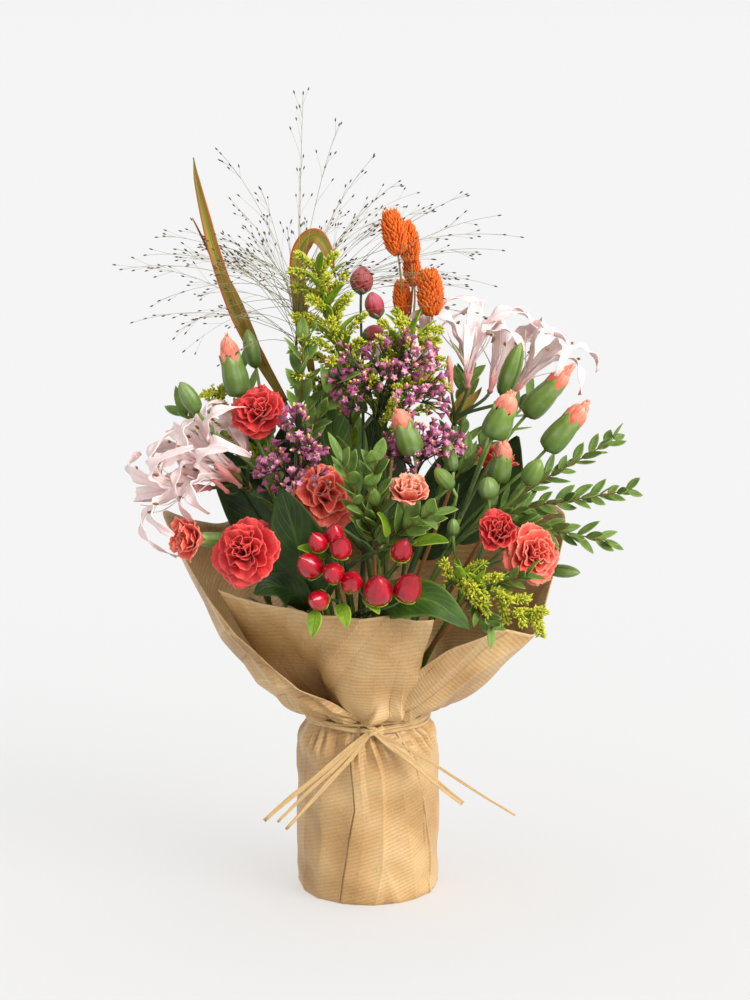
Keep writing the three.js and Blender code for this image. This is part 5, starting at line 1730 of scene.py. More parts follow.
@dataclass
class CarnationSpray:
    """One spray: a main stem with blooms, buds that show colour, green buds and narrow leaves."""

    finishes: Finishes
    node: str
    fork: Point
    blooms: tuple = ()
    buds: tuple = ()
    leaves: tuple = ()  # rows of (place on the stem, direction, length)
    cup_length: float = 19.5
    cup_mouth: float = 4.5
    cup_belly: float = 5.0
    sunk: float = 1.5  # how far the petals start inside their cup
    leaf_width: float = 4.6
    bloom_seed: int = 40
    tip_seed: int = 70

    def bloom(self, bloom: Bloom) -> tuple[Array, Array]:
        """Makes a bloom and says where its calyx ends, and along what axis.

        Args:
            bloom: the bloom to make.

        Returns:
            The point where the calyx ends, and the bloom's axis.
        """
        facing = unit(at(bloom.axis))
        radius = bloom.size / 2
        base = at(bloom.centre) - facing * (0.55 * radius)
        claws, seed = base - facing * self.sunk, self.bloom_seed + bloom.number
        petals = ruffled_petals(claws, facing, radius, self.cup_mouth - 0.1, bloom.whorls, seed)
        parts = [(petals, getattr(self.finishes, bloom.tint.value))]
        make_piece(f"bloom_{bloom.number}_petals", parts, [f"carnation_bloom_{bloom.number}"])
        return base, facing

    def bud_tip(self, bud: Bud, foot: Array, facing: Array, length: float, mouth: float) -> None:
        """Makes the coloured petals that show at a bud's mouth.

        Args:
            bud: the bud that they belong to.
            foot: the bud's foot.
            facing: its axis.
            length: how long it is.
            mouth: the radius of its mouth.
        """
        base = foot + facing * (0.44 * length)
        petals = ruffled_petals(base, facing, 0.5 * length, mouth, BUD_TIP, self.tip_seed + bud.number)
        parts = [(petals, self.finishes.salmon_petal)]
        make_piece(f"bud_{bud.number}_petals", parts, [f"carnation_bud_tip_{bud.number}"])

    def build(self) -> None:
        """Makes the blooms, the coloured tips and the green spray."""
        stem = Stem(self.node, self.fork, 1.8)
        green = [stem.skin()]
        for bloom in self.blooms:
            base, facing = self.bloom(bloom)
            foot = base - facing * (self.cup_length - 0.5)
            green += [
                stem.branch(bloom.branch, foot, facing, 1.1),
                calyx(foot, facing, self.cup_length, self.cup_mouth, self.cup_belly, bloom.number),
                bracts(foot - facing * 0.6, facing, 7.5, 4.6, bloom.number),
            ]
        for bud in self.buds:
            foot, radius = at(bud.foot), 0.47 * bud.width
            facing, length = aim(bud.foot, bud.tip)
            green.append(stem.branch(bud.branch, foot, facing, 1.0))
            green.append(bracts(foot - facing * 0.5, facing, 0.3 * length, 0.8 * radius, bud.branch * 9))
            if bud.number:
                mouth = 0.86 * radius
                green.append(calyx(foot, facing, 0.6 * length, mouth, radius, bud.number))
                self.bud_tip(bud, foot, facing, length, mouth)
            else:
                green.append(closed_bud(foot, facing, length, radius, bud.branch * 7))
        parts = [(part, self.finishes.calyx) for part in green]
        for branch, direction, length in self.leaves:
            leaf = narrow_leaf(stem.curve, branch, at(direction), length, self.leaf_width)
            parts.append((leaf, self.finishes.carnation_leaf))
        make_piece(f"{self.node}_green", parts, [self.node])


def narrow_leaf(curve: Array, share: float, direction: Array, length: float, width: float) -> Skin:
    """A grassy leaf that leaves a stem, folds along its middle and arches over towards its tip.

    Args:
        curve: the stem's points.
        share: where the leaf leaves it, from 0 to 1.
        direction: the way that it starts out.
        length: how long it is.
        width: its width where it is widest.

    Returns:
        The leaf.
    """
    root, _ = along(curve, share)
    s = np.linspace(0, 1, 14)[:, None]
    path = root + unit(direction) * (length * s) + UP * (length * (0.12 * s - 0.24 * s**2.4))
    face = UP - 0.4 * unit(at(root[0], root[1], 0))
    return blades(path, width * leaf_widths(14, 0.35, 0.7, 0.4), face, fold=0.5, thick=0.6, picks=share)


# ---- Nerines ----


@dataclass(frozen=True)
class Floret:
    """A nerine floret: base, axis, length and the turn of its first petal."""

    base: Point
    axis: Point
    length: float
    turn: float


@dataclass
class Nerine:
    """A loose umbel: florets of six narrow waved petals that roll back, closed buds, and a papery spathe."""

    finishes: Finishes
    name: str
    fork: Point
    lean: Point
    spathe: tuple[Point, Point]
    florets: tuple
    buds: tuple
    petal_width: float = 8.8
    grow: float = 1.6  # lengthens the petals beyond the florets' own lengths
    seed: int = 3
    tube: tuple = ((1.2, -2.5), (2.1, -1.2), (1.5, 0.2), (1.8, 2), (2.9, 7), (2.4, 7.2))
    closed: tuple = (
        (0.9, -0.08), (1.5, -0.03), (1.1, 0.03), (1.5, 0.25), (2.1, 0.6), (1.9, 0.8), (0.9, 0.95), (0.2, 1.0),
    )

    def petals(self, floret: Floret, seed: int) -> Skin:
        """Six petals: each midrib goes up by .92 s - .36 s^5 and out by .12 s + .44 s^2.6 of its length.

        The edges wave as a sine along the petal that grows towards the rim.

        Args:
            floret: the flower that they belong to.
            seed: starts the random draws.

        Returns:
            The petals.
        """
        rng = np.random.default_rng(seed)
        facing, base = unit(at(floret.axis)), at(floret.base)
        s = lengthwise(30, 0.04)
        azimuth = -(floret.turn + circle(6)) + rng.uniform(-0.25, 0.25, 6)
        out = leaning(facing, azimuth, QUARTER)[:, None]
        size = floret.length * self.grow * rng.uniform(0.92, 1.12, (6, 1, 1))
        up = 0.92 * s - 0.36 * s**5 - 0.3 * rng.uniform(0, 1, (6, 1, 1)) * s**7
        paths = base + facing * (size * up) + out * (size * (0.12 * s + 0.44 * s**2.6))
        bowed = np.cross(facing, out) * (rng.uniform(-6, 6, (6, 1, 1)) * s**2)
        widths = self.petal_width * leaf_widths(30, 0.55, 0.45, 0.3) * rng.uniform(0.85, 1.15, (6, 1))
        u = crosswise(9)
        phase = rng.uniform(0, TURN, (6, 1, 1))
        wave = np.sin(TURN * 4.6 * s + phase + 1.4 * np.sign(u)) * np.abs(u) ** 1.6
        sheet = {"fold": 0.25, "ripple": 1.5 * wave * smooth(0.25, 0.65, s), "thick": 0.4, "columns": 9}
        return blades(paths + bowed, widths, facing, **sheet, picks=rng.uniform(0, 1, 6))

    def stamens(self, floret: Floret, seed: int) -> tuple[Skin, Skin]:
        """Seven filaments that arch out of a floret, with a long anther across the tip of each but one.

        Args:
            floret: the flower that they belong to.
            seed: starts the random draws.

        Returns:
            The filaments and the anthers.
        """
        rng = np.random.default_rng(seed)
        facing, base = unit(at(floret.axis)), at(floret.base)
        azimuth = rng.uniform(0, TURN) + circle(7)
        tilt = rng.uniform(0.25, 0.6, 7)
        out = leaning(facing, azimuth, tilt)
        tips = base + out * (floret.length * rng.uniform(0.7, 1.1, (7, 1))) + UP * rng.uniform(-2, 4, (7, 1))
        start = np.repeat((base + facing * (0.1 * floret.length))[None], 7, axis=0)
        paths = bend(start, leaning(facing, azimuth, tilt * 0.3), tips, out + 0.5 * UP, 9, 0.4)
        threads = tubes(paths, np.linspace(0.42, 0.3, 10), 5, 0.5)
        tips, out = tips[:6], out[:6]
        frames = axes_for(np.cross(out, UP) + 0.4 * out, rng.uniform(0, TURN, 6))
        middles = tips - frames[:, 2] * 2.2
        return threads, stamped(bead(8, 6), middles, frames, (1.8, 1.8, 4.6), rng.uniform(0, 1, 6))

    def build(self) -> None:
        """Makes the flowers and the stem."""
        node = f"{self.name}_stem"
        stem = Stem(node, self.fork, 2.2, self.lean)
        fin = self.finishes
        green, bloom = [(stem.skin(), fin.stem)], []
        for index, floret in enumerate(self.florets):
            facing, base = unit(at(floret.axis)), at(floret.base)
            green.append((stem.branch(1, base - facing, facing, 1.05), fin.stem))
            bloom.append((turned(base, axes_for(facing), at(*self.tube), 12), fin.nerine_bud))
            bloom.append((self.petals(floret, self.seed + index), fin.nerine_petal))
            threads, anthers = self.stamens(floret, self.seed + 20 + index)
            bloom += [(threads, fin.filament), (anthers, fin.anther)]
        for foot, tip in self.buds:
            facing, length = aim(foot, tip)
            green.append((stem.branch(1, at(foot) - facing, facing, 0.85), fin.stem))
            ribs = 1 + 0.1 * np.cos(3 * circle(18))
            profile = at(*self.closed) * at(1, length)
            bloom.append((turned(at(foot), axes_for(facing), profile, 18, 0.3, ribs), fin.nerine_bud))
        root, tip = (at(p) for p in self.spathe)
        for index, shift in enumerate((-1, 1)):
            path = bend(root, at(self.lean), tip + at(3 * shift, 2 * shift, -2 * index), tip - root, 14)
            widths = 7 * leaf_widths(15, 0.35, 0.8, 0.35)
            skin = blades(path, widths, at(0.5 * shift, -shift, 0.2), fold=0.5, thick=0.4, picks=0.4 * index)
            green.append((skin, fin.spathe))
        make_piece(f"{self.name}_petals", bloom, [f"{self.name}_flowers"])
        make_piece(f"{self.name}_stalks", green, [node])


# ---- Orange grass heads and fountain grass ----


@dataclass
class OrangeHeads:
    """Egg-shaped orange heads of pointed scales, each on a fine stalk."""

    finishes: Finishes
    hub: Point = (17, 10, 298)
    heads: tuple = (
        ((18, -5, 392), (13, -6, 419), 16), ((26, 4, 386), (22, 5, 411), 15),
        ((28, 16, 370), (25, 17, 392), 12), ((21, 2, 355), (20, 3, 376), 12.5),
        ((38, -6, 356), (36, -8, 384), 18.5),
    )
    scales: int = 230

    def head(self, foot: Array, tip: Array, width: float, seed: int) -> list[Skin]:
        """A core and its scales, set at the golden angle up an egg whose radius is a sine of the height.

        Args:
            foot: the head's foot.
            tip: its tip.
            width: how wide it is.
            seed: starts the random draws.

        Returns:
            The core and the scales.
        """
        rng = np.random.default_rng(seed)
        facing, length = aim(foot, tip)
        frame_axes = axes_for(facing)[0]
        profile = ovals(12, 0.55) * at(width * 0.36, length * 0.94)
        core = turned(foot, frame_axes, profile, 14, 0.8)
        t = (np.arange(self.scales) + 0.5) / self.scales
        azimuth = GOLDEN_ANGLE * np.arange(self.scales) + rng.uniform(-0.1, 0.1, self.scales)
        radial = np.cos(azimuth)[:, None] * frame_axes[0] + np.sin(azimuth)[:, None] * frame_axes[1]
        reach = width * 0.3 * np.sin(math.pi * (0.06 + 0.86 * t)) ** 0.55
        places = foot + facing * (0.9 * length * t)[:, None] + radial * reach[:, None]
        flare = (0.7 * (1 - t) + 0.3)[:, None] + rng.uniform(-0.2, 0.2, (self.scales, 1))
        frames = axes_for(facing + radial * flare, 0, facing + 0.01)
        spike = at((0.2, 0), (0.5, 0.22), (0.42, 0.5), (0.2, 0.78), (0.02, 1.0))
        scale = turned(np.zeros((1, 3)), np.eye(3)[None], spike, 6)
        sizes = np.stack([0.15 * width + 0 * t, 0.11 * width + 0 * t, (0.21 - 0.04 * t) * length], axis=-1)
        return [core, stamped(scale, places, frames, sizes, rng.uniform(0, 1, self.scales))]

    def build(self) -> None:
        """Makes the heads and their stalks."""
        stem = Stem("phalaris_heads", self.hub, 1.3, (0.05, 0, 1))
        fin = self.finishes
        parts = [(stem.skin(), fin.straw)]
        for index, (foot, tip, width) in enumerate(self.heads):
            foot, tip = at(foot), at(tip)
            parts.append((stem.branch(1, foot + unit(tip - foot) * 2, tip - foot, 0.6, 14), fin.straw))
            parts += [(skin, fin.orange_scale) for skin in self.head(foot, tip, width, 60 + index)]
        make_piece("orange_grass_heads", parts, ["phalaris_heads"])


@dataclass
class FountainGrass:
    """A cloud of hair-fine branches, each with smaller hairs and a seed at every tip."""

    finishes: Finishes
    fork: Point = (-43, 10, 335)
    crown: Point = (-40, 6, 392)
    low: Point = (-104, -62, -44)  # how far the cloud reaches from its crown
    high: Point = (132, 82, 92)
    branches: int = 72
    hairs: int = 7  # finer ones on each branch
    bow: float = 0.19  # how far a branch bows upwards, as a share of its length
    strand: float = 0.12  # radius of a hair
    grain_size: Point = (0.95, 0.95, 2.7)
    ends: tuple = (
        (-38, 4, 486), (-144, -20, 386), (-137, -35, 357), (-87, 20, 449), (-17, -10, 469), (3, 30, 446),
        (18, -25, 438), (58, 20, 425), (76, -30, 419), (91, 10, 401), (78, -40, 400), (68, -45, 361),
        (-124, 10, 363), (-106, -50, 343), (-74, -40, 423), (38, 50, 415), (-41, 40, 437), (-65, 60, 423),
        (-132, 40, 378), (-13, -60, 423), (62, 40, 365), (-98, -30, 372), (-88, 30, 350), (-112, -10, 348),
        (-80, -40, 338), (-96, 20, 392), (-74, -20, 362), (-100, -44, 360), (-66, 8, 388), (-84, -8, 402),
        (50, -20, 384), (64, 10, 392), (44, -40, 372),
    )

    def build(self) -> None:
        """Makes the grass.

        Main hairs leave the axis at the golden angle and rise from drooping to upright. Each is a quadratic
        curve that bows upwards. Fine hairs leave them at a slant and end in a seed.
        """
        rng = np.random.default_rng(7)
        stem = Stem("panicum_grass", self.fork, 1.2, (0, 0, 1))
        crown, hub = at(self.crown), stem.curve[-1]
        axis = tubes(np.stack([hub, blend(hub, crown, 0.5), crown]), at(0.8, 0.65, 0.4), 6)
        k = np.arange(self.branches)
        rise = blend(-0.45, 0.45, (k * 0.618) % 1)
        azimuth = k * GOLDEN_ANGLE
        flat = np.sqrt(1 - np.minimum(rise**2, 1))
        aim = np.stack([flat * np.cos(azimuth), flat * np.sin(azimuth), rise], axis=-1)
        size = np.where(aim < 0, -at(self.low), at(self.high)) * rng.uniform(0.3, 1.0, (self.branches, 1))
        tips = crown + aim * size
        tips[: len(self.ends)] = at(*self.ends)
        roots = blend(hub, crown, 0.65 * rng.uniform(0, 1, (self.branches, 1)))
        bow = UP * (self.bow * np.linalg.norm(tips - roots, axis=-1))[:, None]
        middle = 0.5 * (roots + tips) + bow
        mains = arch(roots, middle, tips, 12)
        taper = np.linspace(self.strand * 1.5, self.strand * 0.8, 13)
        parts = [tubes(mains, taper, 4, rng.uniform(0, 1, len(mains)))]
        places = rng.integers(5, 12, (self.branches, self.hairs))
        starts = np.take_along_axis(mains, places[..., None], axis=1).reshape(-1, 3)
        slopes = unit(np.gradient(mains, axis=1))
        slopes = np.take_along_axis(slopes, places[..., None], axis=1).reshape(-1, 3)
        spin = unit(rng.normal(size=slopes.shape))
        lean = unit(slopes + 0.45 * spin)
        length = rng.uniform(9, 24, (len(starts), 1)) * (1.25 - 0.06 * places.reshape(-1, 1))
        ends = starts + lean * length
        hairs = bend(starts, slopes + 0.3 * spin, ends, lean, 4)
        parts.append(tubes(hairs, np.linspace(self.strand * 0.75, self.strand * 0.55, 5), 3, 0.5))
        tops = np.concatenate([ends, tips])
        frames = axes_for(np.concatenate([lean, unit(tips - middle)]))
        picks = rng.uniform(0, 1, len(tops))
        seeds = stamped(bead(5), tops - frames[:, 2] * 0.4, frames, self.grain_size, picks)
        fin = self.finishes
        dressed = [(stem.skin(), fin.straw), (axis, fin.straw)]
        dressed += [(part, fin.grass_hair) for part in parts] + [(seeds, fin.grass_seed)]
        make_piece("fountain_grass", dressed, ["panicum_grass"])


@dataclass
class StrapLeaf:
    """A long blade folded along its middle, olive with rusty edges, on its own stem."""

    finishes: Finishes
    node: str
    path: tuple
    widths: tuple
    extra: tuple = ()

    def build(self) -> None:
        """Makes the leaf, and any narrower blades beside it."""
        points = at(*self.path)
        stem = Stem(self.node, self.path[0], 1.4, tuple(points[1] - points[0]))
        rows = 60
        place = np.linspace(0, 1, len(self.widths))
        width = np.maximum(np.interp(np.linspace(0, 1, rows + 1), place, self.widths), 0.35)
        s = lengthwise(rows + 1)
        u = crosswise(9)
        ripple = 0.35 * np.sin(9 * s + 2 * u) * np.abs(u)
        line = through(points, rows)
        blade = blades(line, width, at(0, -1, 0.15), fold=0.5, ripple=ripple, thick=0.6, columns=9)
        parts = [(stem.skin(), self.finishes.stem), (blade, self.finishes.strap_leaf)]
        for path, wide in self.extra:
            width = wide * leaf_widths(31, 0.5, 0.4, 0.3)
            side = blades(through(at(*path), 30), width, at(0.2, -1, 0.2), fold=0.5, columns=5, picks=0.9)
            parts.append((side, self.finishes.strap_leaf))
        make_piece(f"{self.node}_blade", parts, [self.node])


# ---- Small flowers ----


@dataclass
class Goldenrod:
    """An arching spray of plumes, each crowded with small yellow-green florets."""

    finishes: Finishes
    node: str
    fork: Point
    tip: Point
    plumes: int
    length: float
    seed: int
    florets: int = 110  # on each plume
    crowded: int = 24  # round the tip

    def build(self) -> None:
        """Makes the spray.

        Plumes leave the spine at the golden angle, shorter towards its tip, and arch over. Florets stand
        round each plume, a little above it.
        """
        rng = np.random.default_rng(self.seed)
        stem = Stem(self.node, self.fork, 1.5)
        _, leave = along(stem.curve, 1.0)
        fork, tip = at(self.fork), at(self.tip)
        spine = bend(fork, leave, tip, tip - fork, 20)
        count = self.plumes
        share = (np.arange(count) + 0.4) / count
        roots, slopes = along(spine, share)
        azimuth = GOLDEN_ANGLE * np.arange(count) + self.seed
        aims = np.concatenate([leaning(slope, turn, 0.85)[None] for slope, turn in zip(slopes, azimuth)])
        size = self.length * (1 - 0.6 * share) * rng.uniform(0.85, 1.1, count)
        reach = aims * size[:, None]
        middle = roots + 0.5 * reach + UP * (0.16 * size[:, None])
        lines = arch(roots, middle, roots + reach - UP * (0.08 * size[:, None]), 8)
        k = np.repeat(np.arange(count), self.florets)
        place = rng.uniform(0.12, 1.0, len(k)) * 8
        i = np.minimum(place.astype(int), 7)
        spots = lines[k, i] + (lines[k, i + 1] - lines[k, i]) * (place - i)[:, None]
        slope = unit(lines[k, i + 1] - lines[k, i])
        spread = unit(rng.normal(size=spots.shape) + 0.5 * UP)
        frames = axes_for(unit(spread + 0.9 * slope))
        spots = spots + spread * rng.uniform(0.2, 1.5, (len(k), 1))
        sizes = rng.uniform(0.75, 1.25, (len(k), 1)) * at(1.25, 1.25, 3.3)
        floret = bead(5, blunt=0.8)
        florets = stamped(floret, spots, frames, sizes, rng.uniform(0, 1, len(k)))
        crown = tip + rng.normal(size=(self.crowded, 3)) * at(1.6, 1.6, 3)
        upright = axes_for(rng.normal(size=(self.crowded, 3)) + UP)
        buds = stamped(floret, crown, upright, (1.4, 1.4, 2.3), rng.uniform(0, 1, self.crowded))
        fin = self.finishes
        ribs = tubes(lines, np.linspace(0.4, 0.2, 9), 4)
        parts = [(skin, fin.stem) for skin in (stem.skin(), tubes(spine, np.linspace(1.0, 0.4, 21)), ribs)]
        parts += [(skin, fin.goldenrod_floret) for skin in (florets, buds)]
        for index in range(count - 3):
            turn = index * GOLDEN_ANGLE
            line, share = (spine, index / 24) if index > 3 else (stem.curve, 0.8 + 0.06 * index)
            direction = at(math.cos(turn), math.sin(turn), 1.2)
            parts.append((narrow_leaf(line, share, direction, 12 + 0.3 * self.length, 4.5), fin.lime_sepal))
        make_piece(f"{self.node}_spray", parts, [self.node])


def trumpet() -> Skin:
    """A papery five-lobed cup, one long: rings that widen, with lobes that lift its rim.

    Returns:
        The cup.
    """
    sides = 10
    angle = circle(sides)
    rows = at((0.07, 0), (0.16, 0.45), (0.52, 1.0), (0.46, 1.0), (0.12, 0.6))
    lobes = 1 + 0.3 * np.cos(5 * angle) * at(0, 0.2, 1, 1, 0)[:, None]
    return turned(np.zeros((1, 3)), np.eye(3)[None], rows, sides, 0.5, lobes)


@dataclass
class Limonium:
    """Dark wiry stems that fork again and again, with tufts of small papery flowers."""

    finishes: Finishes
    node: str
    fork: Point
    heart: Point
    spread: Point
    tufts: int
    seed: int
    florets: int = 11  # in each tuft
    forks: int = 5  # wires that leave the stem; the rest leave these
    lit: float = 0.7  # share of the florets whose eye shows

    def build(self) -> None:
        """Makes the spray: tufts lie in a flattened dome round its heart, at the golden angle.

        The first few wires leave the stem, and the rest leave those part of the way up.
        """
        rng = np.random.default_rng(self.seed)
        stem = Stem(self.node, self.fork, 1.3)
        count = self.tufts
        k = np.arange(count)
        out = np.sqrt((k + 0.6) / count)
        azimuth = k * GOLDEN_ANGLE + rng.uniform(-0.5, 0.5, count)
        rise = 0.8 - out**2 + 1.2 * (rng.uniform(0, 1, count) - 0.5)
        offset = np.stack([out * np.cos(azimuth), out * np.sin(azimuth), rise], axis=-1) * at(self.spread)
        ends = at(self.heart) + offset
        aims = unit(offset * at(1, 1, 0) + at(0, 0, 14))
        roots, slopes = along(stem.curve, 1 - 0.3 * k / count)
        wires = bend(roots, slopes, ends, aims, 9, 0.32)
        mains = wires[k % self.forks]
        leave = 3 + k % 4
        late = k >= self.forks
        roots = np.where(late[:, None], mains[k, leave], roots)
        slopes = np.where(late[:, None], unit(mains[k, leave + 1] - mains[k, leave]), slopes)
        wires = bend(roots, slopes, ends, aims, 9, 0.32)
        spots = ends[:, None] + rng.normal(size=(count, self.florets, 3)) * at(2.6, 2.6, 3.4)
        lean = unit(spots - ends[:, None] + 5 * aims[:, None]).reshape(-1, 3)
        tips, frames = spots.reshape(-1, 3), axes_for(lean, rng.uniform(0, TURN, len(lean)))
        forked, leave = (np.repeat(rows, self.florets, axis=0) for rows in (wires[:, -3], aims))
        twigs = bend(forked, leave, tips, lean, 3)
        picks, grow = rng.uniform(0, 1, len(tips)), rng.uniform(0.65, 1.3, (len(tips), 1))
        cups = stamped(trumpet(), tips, frames, grow * at(3.4, 3.4, 4.6), picks)
        lit = rng.uniform(0, 1, len(tips)) < self.lit
        eyes = stamped(bead(5), tips[lit] + lean[lit] * 2.9, frames[lit], (1.5, 1.5, 2.6), picks[lit])
        fin = self.finishes
        stalks = (stem.skin(), tubes(wires, np.linspace(0.6, 0.4, 10), 5), tubes(twigs, 0.3, 4))
        parts = [(skin, fin.wiry_stem) for skin in stalks]
        parts += [(cups, fin.limonium_calyx), (eyes, fin.limonium_eye)]
        make_piece(f"{self.node}_spray", parts, [self.node])


@dataclass
class Hypericum:
    """Glossy crimson berries on lime collars, with small lime leaves."""

    finishes: Finishes
    fork: Point = (-13, -62, 210)
    berries: tuple = (
        ((-19, -84, 241), 12, (0, -0.5, 0.9)), ((-29, -89, 238), 11, (-0.4, -0.6, 0.8)),
        ((-15, -94, 236), 12.5, (0.1, -0.7, 0.8)), ((-34, -88, 224), 15, (-0.5, -0.7, 0.6)),
        ((-20, -95, 221), 12.5, (-0.2, -0.9, 0.5)), ((-9, -93, 215), 13, (0.1, -0.9, 0.4)),
        ((-29, -93, 204), 12, (-0.4, -0.9, 0.2)), ((6, -94, 211), 17, (0, -0.6, 0.8)),
        ((24, -92, 212), 16.5, (0.3, -0.6, 0.8)), ((20, -88, 233), 12.5, (0.3, -0.5, 0.9)),
    )
    leaves: tuple = (
        ((-30, -86, 196), (-0.1, -0.5, -0.6), 15, 9), ((-16, -86, 200), (0.2, -0.6, -0.4), 16, 9),
        ((26, -80, 234), (0.9, -0.4, 0.3), 24, 10), ((12, -78, 238), (-0.3, -0.4, 0.9), 22, 10),
        ((-24, -82, 226), (-0.8, -0.2, 0.5), 20, 9), ((-2, -84, 204), (0.5, -0.7, -0.3), 16, 8),
    )
    profile: tuple = (
        (0.25, 0), (0.66, 0.06), (0.94, 0.3), (1, 0.62), (0.95, 0.98), (0.81, 1.32), (0.6, 1.6), (0.38, 1.82),
        (0.2, 1.96), (0.08, 2.06), (0.05, 2.3),
    )

    def berry(self, foot: Array, facing: Array, radius: float, index: int) -> Skin:
        """A berry: a profile from its collar to its point, with three soft lobes.

        Args:
            foot: its foot.
            facing: its axis.
            radius: its radius.
            index: which berry, for its turn and its draw.

        Returns:
            The berry.
        """
        ribs = 0.97 + 0.06 * np.abs(np.cos(1.5 * circle(24))) * np.ones((len(self.profile), 1))
        profile = at(*self.profile) * at(radius, 1.1 * radius)
        return turned(foot, axes_for(facing, index), profile, 24, index / 10, ribs)

    def collar(self, foot: Array, facing: Array, radius: float, index: int) -> Skin:
        """Five sepals that spread under a berry and turn up at their tips.

        Args:
            foot: the berry's foot.
            facing: its axis.
            radius: its radius.
            index: which berry, for the collar's turn and draw.

        Returns:
            The sepals.
        """
        out = leaning(facing, index + circle(5), QUARTER)[:, None]
        s = lengthwise(8)
        rise = radius * (0.05 * s + 0.34 * s**3) - 0.8
        paths = foot + facing * rise + out * (radius * (0.2 + 0.95 * s - 0.12 * s**3))
        widths = radius * 0.95 * leaf_widths(8, 0.5, 0.6, 0.4)
        return blades(paths, widths, facing, fold=0.2, columns=5, picks=index / 10)

    def build(self) -> None:
        """Makes the spray."""
        stem = Stem("hypericum_berries", self.fork, 1.8)
        fin = self.finishes
        parts = [(stem.skin(), fin.stem)]
        for index, (centre, width, axis) in enumerate(self.berries):
            facing, radius = unit(at(axis)), width / 2
            foot = at(centre) - facing * (1.02 * radius)
            parts += [
                (self.berry(foot, facing, radius, index), fin.hypericum_berry),
                (stem.branch(1 - 0.05 * index, foot - facing * 0.5, facing, 0.8), fin.stem),
                (self.collar(foot, facing, radius, index), fin.lime_sepal),
            ]
        _, leave = along(stem.curve, 1.0)
        for index, (root, direction, length, width) in enumerate(self.leaves):
            s = np.linspace(0, 1, 16)[:, None]
            start, way = at(root), unit(at(direction))
            path = start + way * (length * s) + UP * (length * (0.15 * s - 0.3 * s**2))
            widths = width * leaf_widths(16, 0.42, 0.7)
            leaf = blades(path, widths, at(0, -0.6, 1), fold=0.2, columns=9, picks=index / 6)
            stalk = tubes(bend(stem.curve[-1], leave, start, way, 6), 0.7)
            parts += [(stalk, fin.stem), (leaf, fin.lime_sepal)]
        make_piece("hypericum_spray", parts, ["hypericum_berries"])


@dataclass
class CrimsonBuds:
    """Small tight crimson buds with grey-green leaves, on one forked stem."""

    finishes: Finishes
    fork: Point = (-3, -3, 318)
    buds: tuple = (
        ((-27, 2, 364), (-24, -1, 377), 12, 1), ((-4, 7, 368), (-3, 4, 384), 14, 1),
        ((6, -4, 355), (2, -7, 370), 11.5, 0.95), ((-2, -7, 344), (9, -10, 349), 9, 0.9),
        ((30, -13, 310), (36, -17, 321), 11, 0.7),
    )
    leaves: tuple = (
        (0.95, (-0.8, -0.4, 0.6), 26), (0.95, (0.8, -0.2, 0.7), 24), (0.93, (-0.2, 0.8, 0.7), 24),
        (0.9, (-0.3, -0.9, 0.9), 24), (0.98, (0.4, -0.7, 1.2), 22), (0.85, (0.9, 0.4, 0.9), 26),
    )
    leaf_width: float = 7.5
    rings: int = 3
    each: int = 5  # scales in a ring

    def scales(self, foot: Array, facing: Array, length: float, radius: float, turn: float) -> Skin:
        """A bud's rounded scales: each bulges as a sine of the way, and each ring starts a little higher.

        Args:
            foot: the bud's foot.
            facing: its axis.
            length: how long it is.
            radius: its radius.
            turn: how far the rings are turned, in radians.

        Returns:
            The scales.
        """
        ring = np.repeat(np.arange(self.rings), self.each)
        low = (0.08 * ring)[:, None, None]
        azimuth = np.tile(circle(self.each), self.rings) + ring * 0.6 + turn
        out = leaning(facing, azimuth, QUARTER)[:, None]
        s = lengthwise(12)
        reach = radius * (0.1 + 0.92 * np.sin(math.pi * (0.08 + 0.9 * s)) ** 0.8 - 0.9 * low)
        paths = foot + facing * (length * (low + s * (1 - low))) + out * reach
        widths = radius * 1.5 * leaf_widths(12, 0.45, 0.6, 0.5)
        picks = np.linspace(0, 1, len(ring))
        return blades(paths, widths, out[:, 0], fold=-0.55, thick=0.4, columns=9, picks=picks)

    def build(self) -> None:
        """Makes the buds, each a core under rounded scales that overlap."""
        stem = Stem("crimson_buds", self.fork, 1.3)
        fin = self.finishes
        parts = [(stem.skin(), fin.stem)]
        for index, (foot, tip, width, branch) in enumerate(self.buds):
            facing, length = aim(foot, tip)
            foot, radius = at(foot), width / 2
            core = ovals(9, 0.6) * at(radius * 0.78, length * 0.9)
            parts += [
                (turned(foot, axes_for(facing), core, 16, 0.6), fin.crimson_petal),
                (self.scales(foot, facing, length, radius, index), fin.crimson_petal),
                (bracts(foot - facing, facing, 0.45 * length, radius * 0.9, index), fin.grey_leaf),
                (stem.branch(branch, foot, facing, 0.8), fin.stem),
            ]
        for share, direction, length in self.leaves:
            leaf = narrow_leaf(stem.curve, share, at(direction), length, self.leaf_width)
            parts.append((leaf, fin.grey_leaf))
        make_piece("crimson_bud_spray", parts, ["crimson_buds"])


# ---- Leaves ----


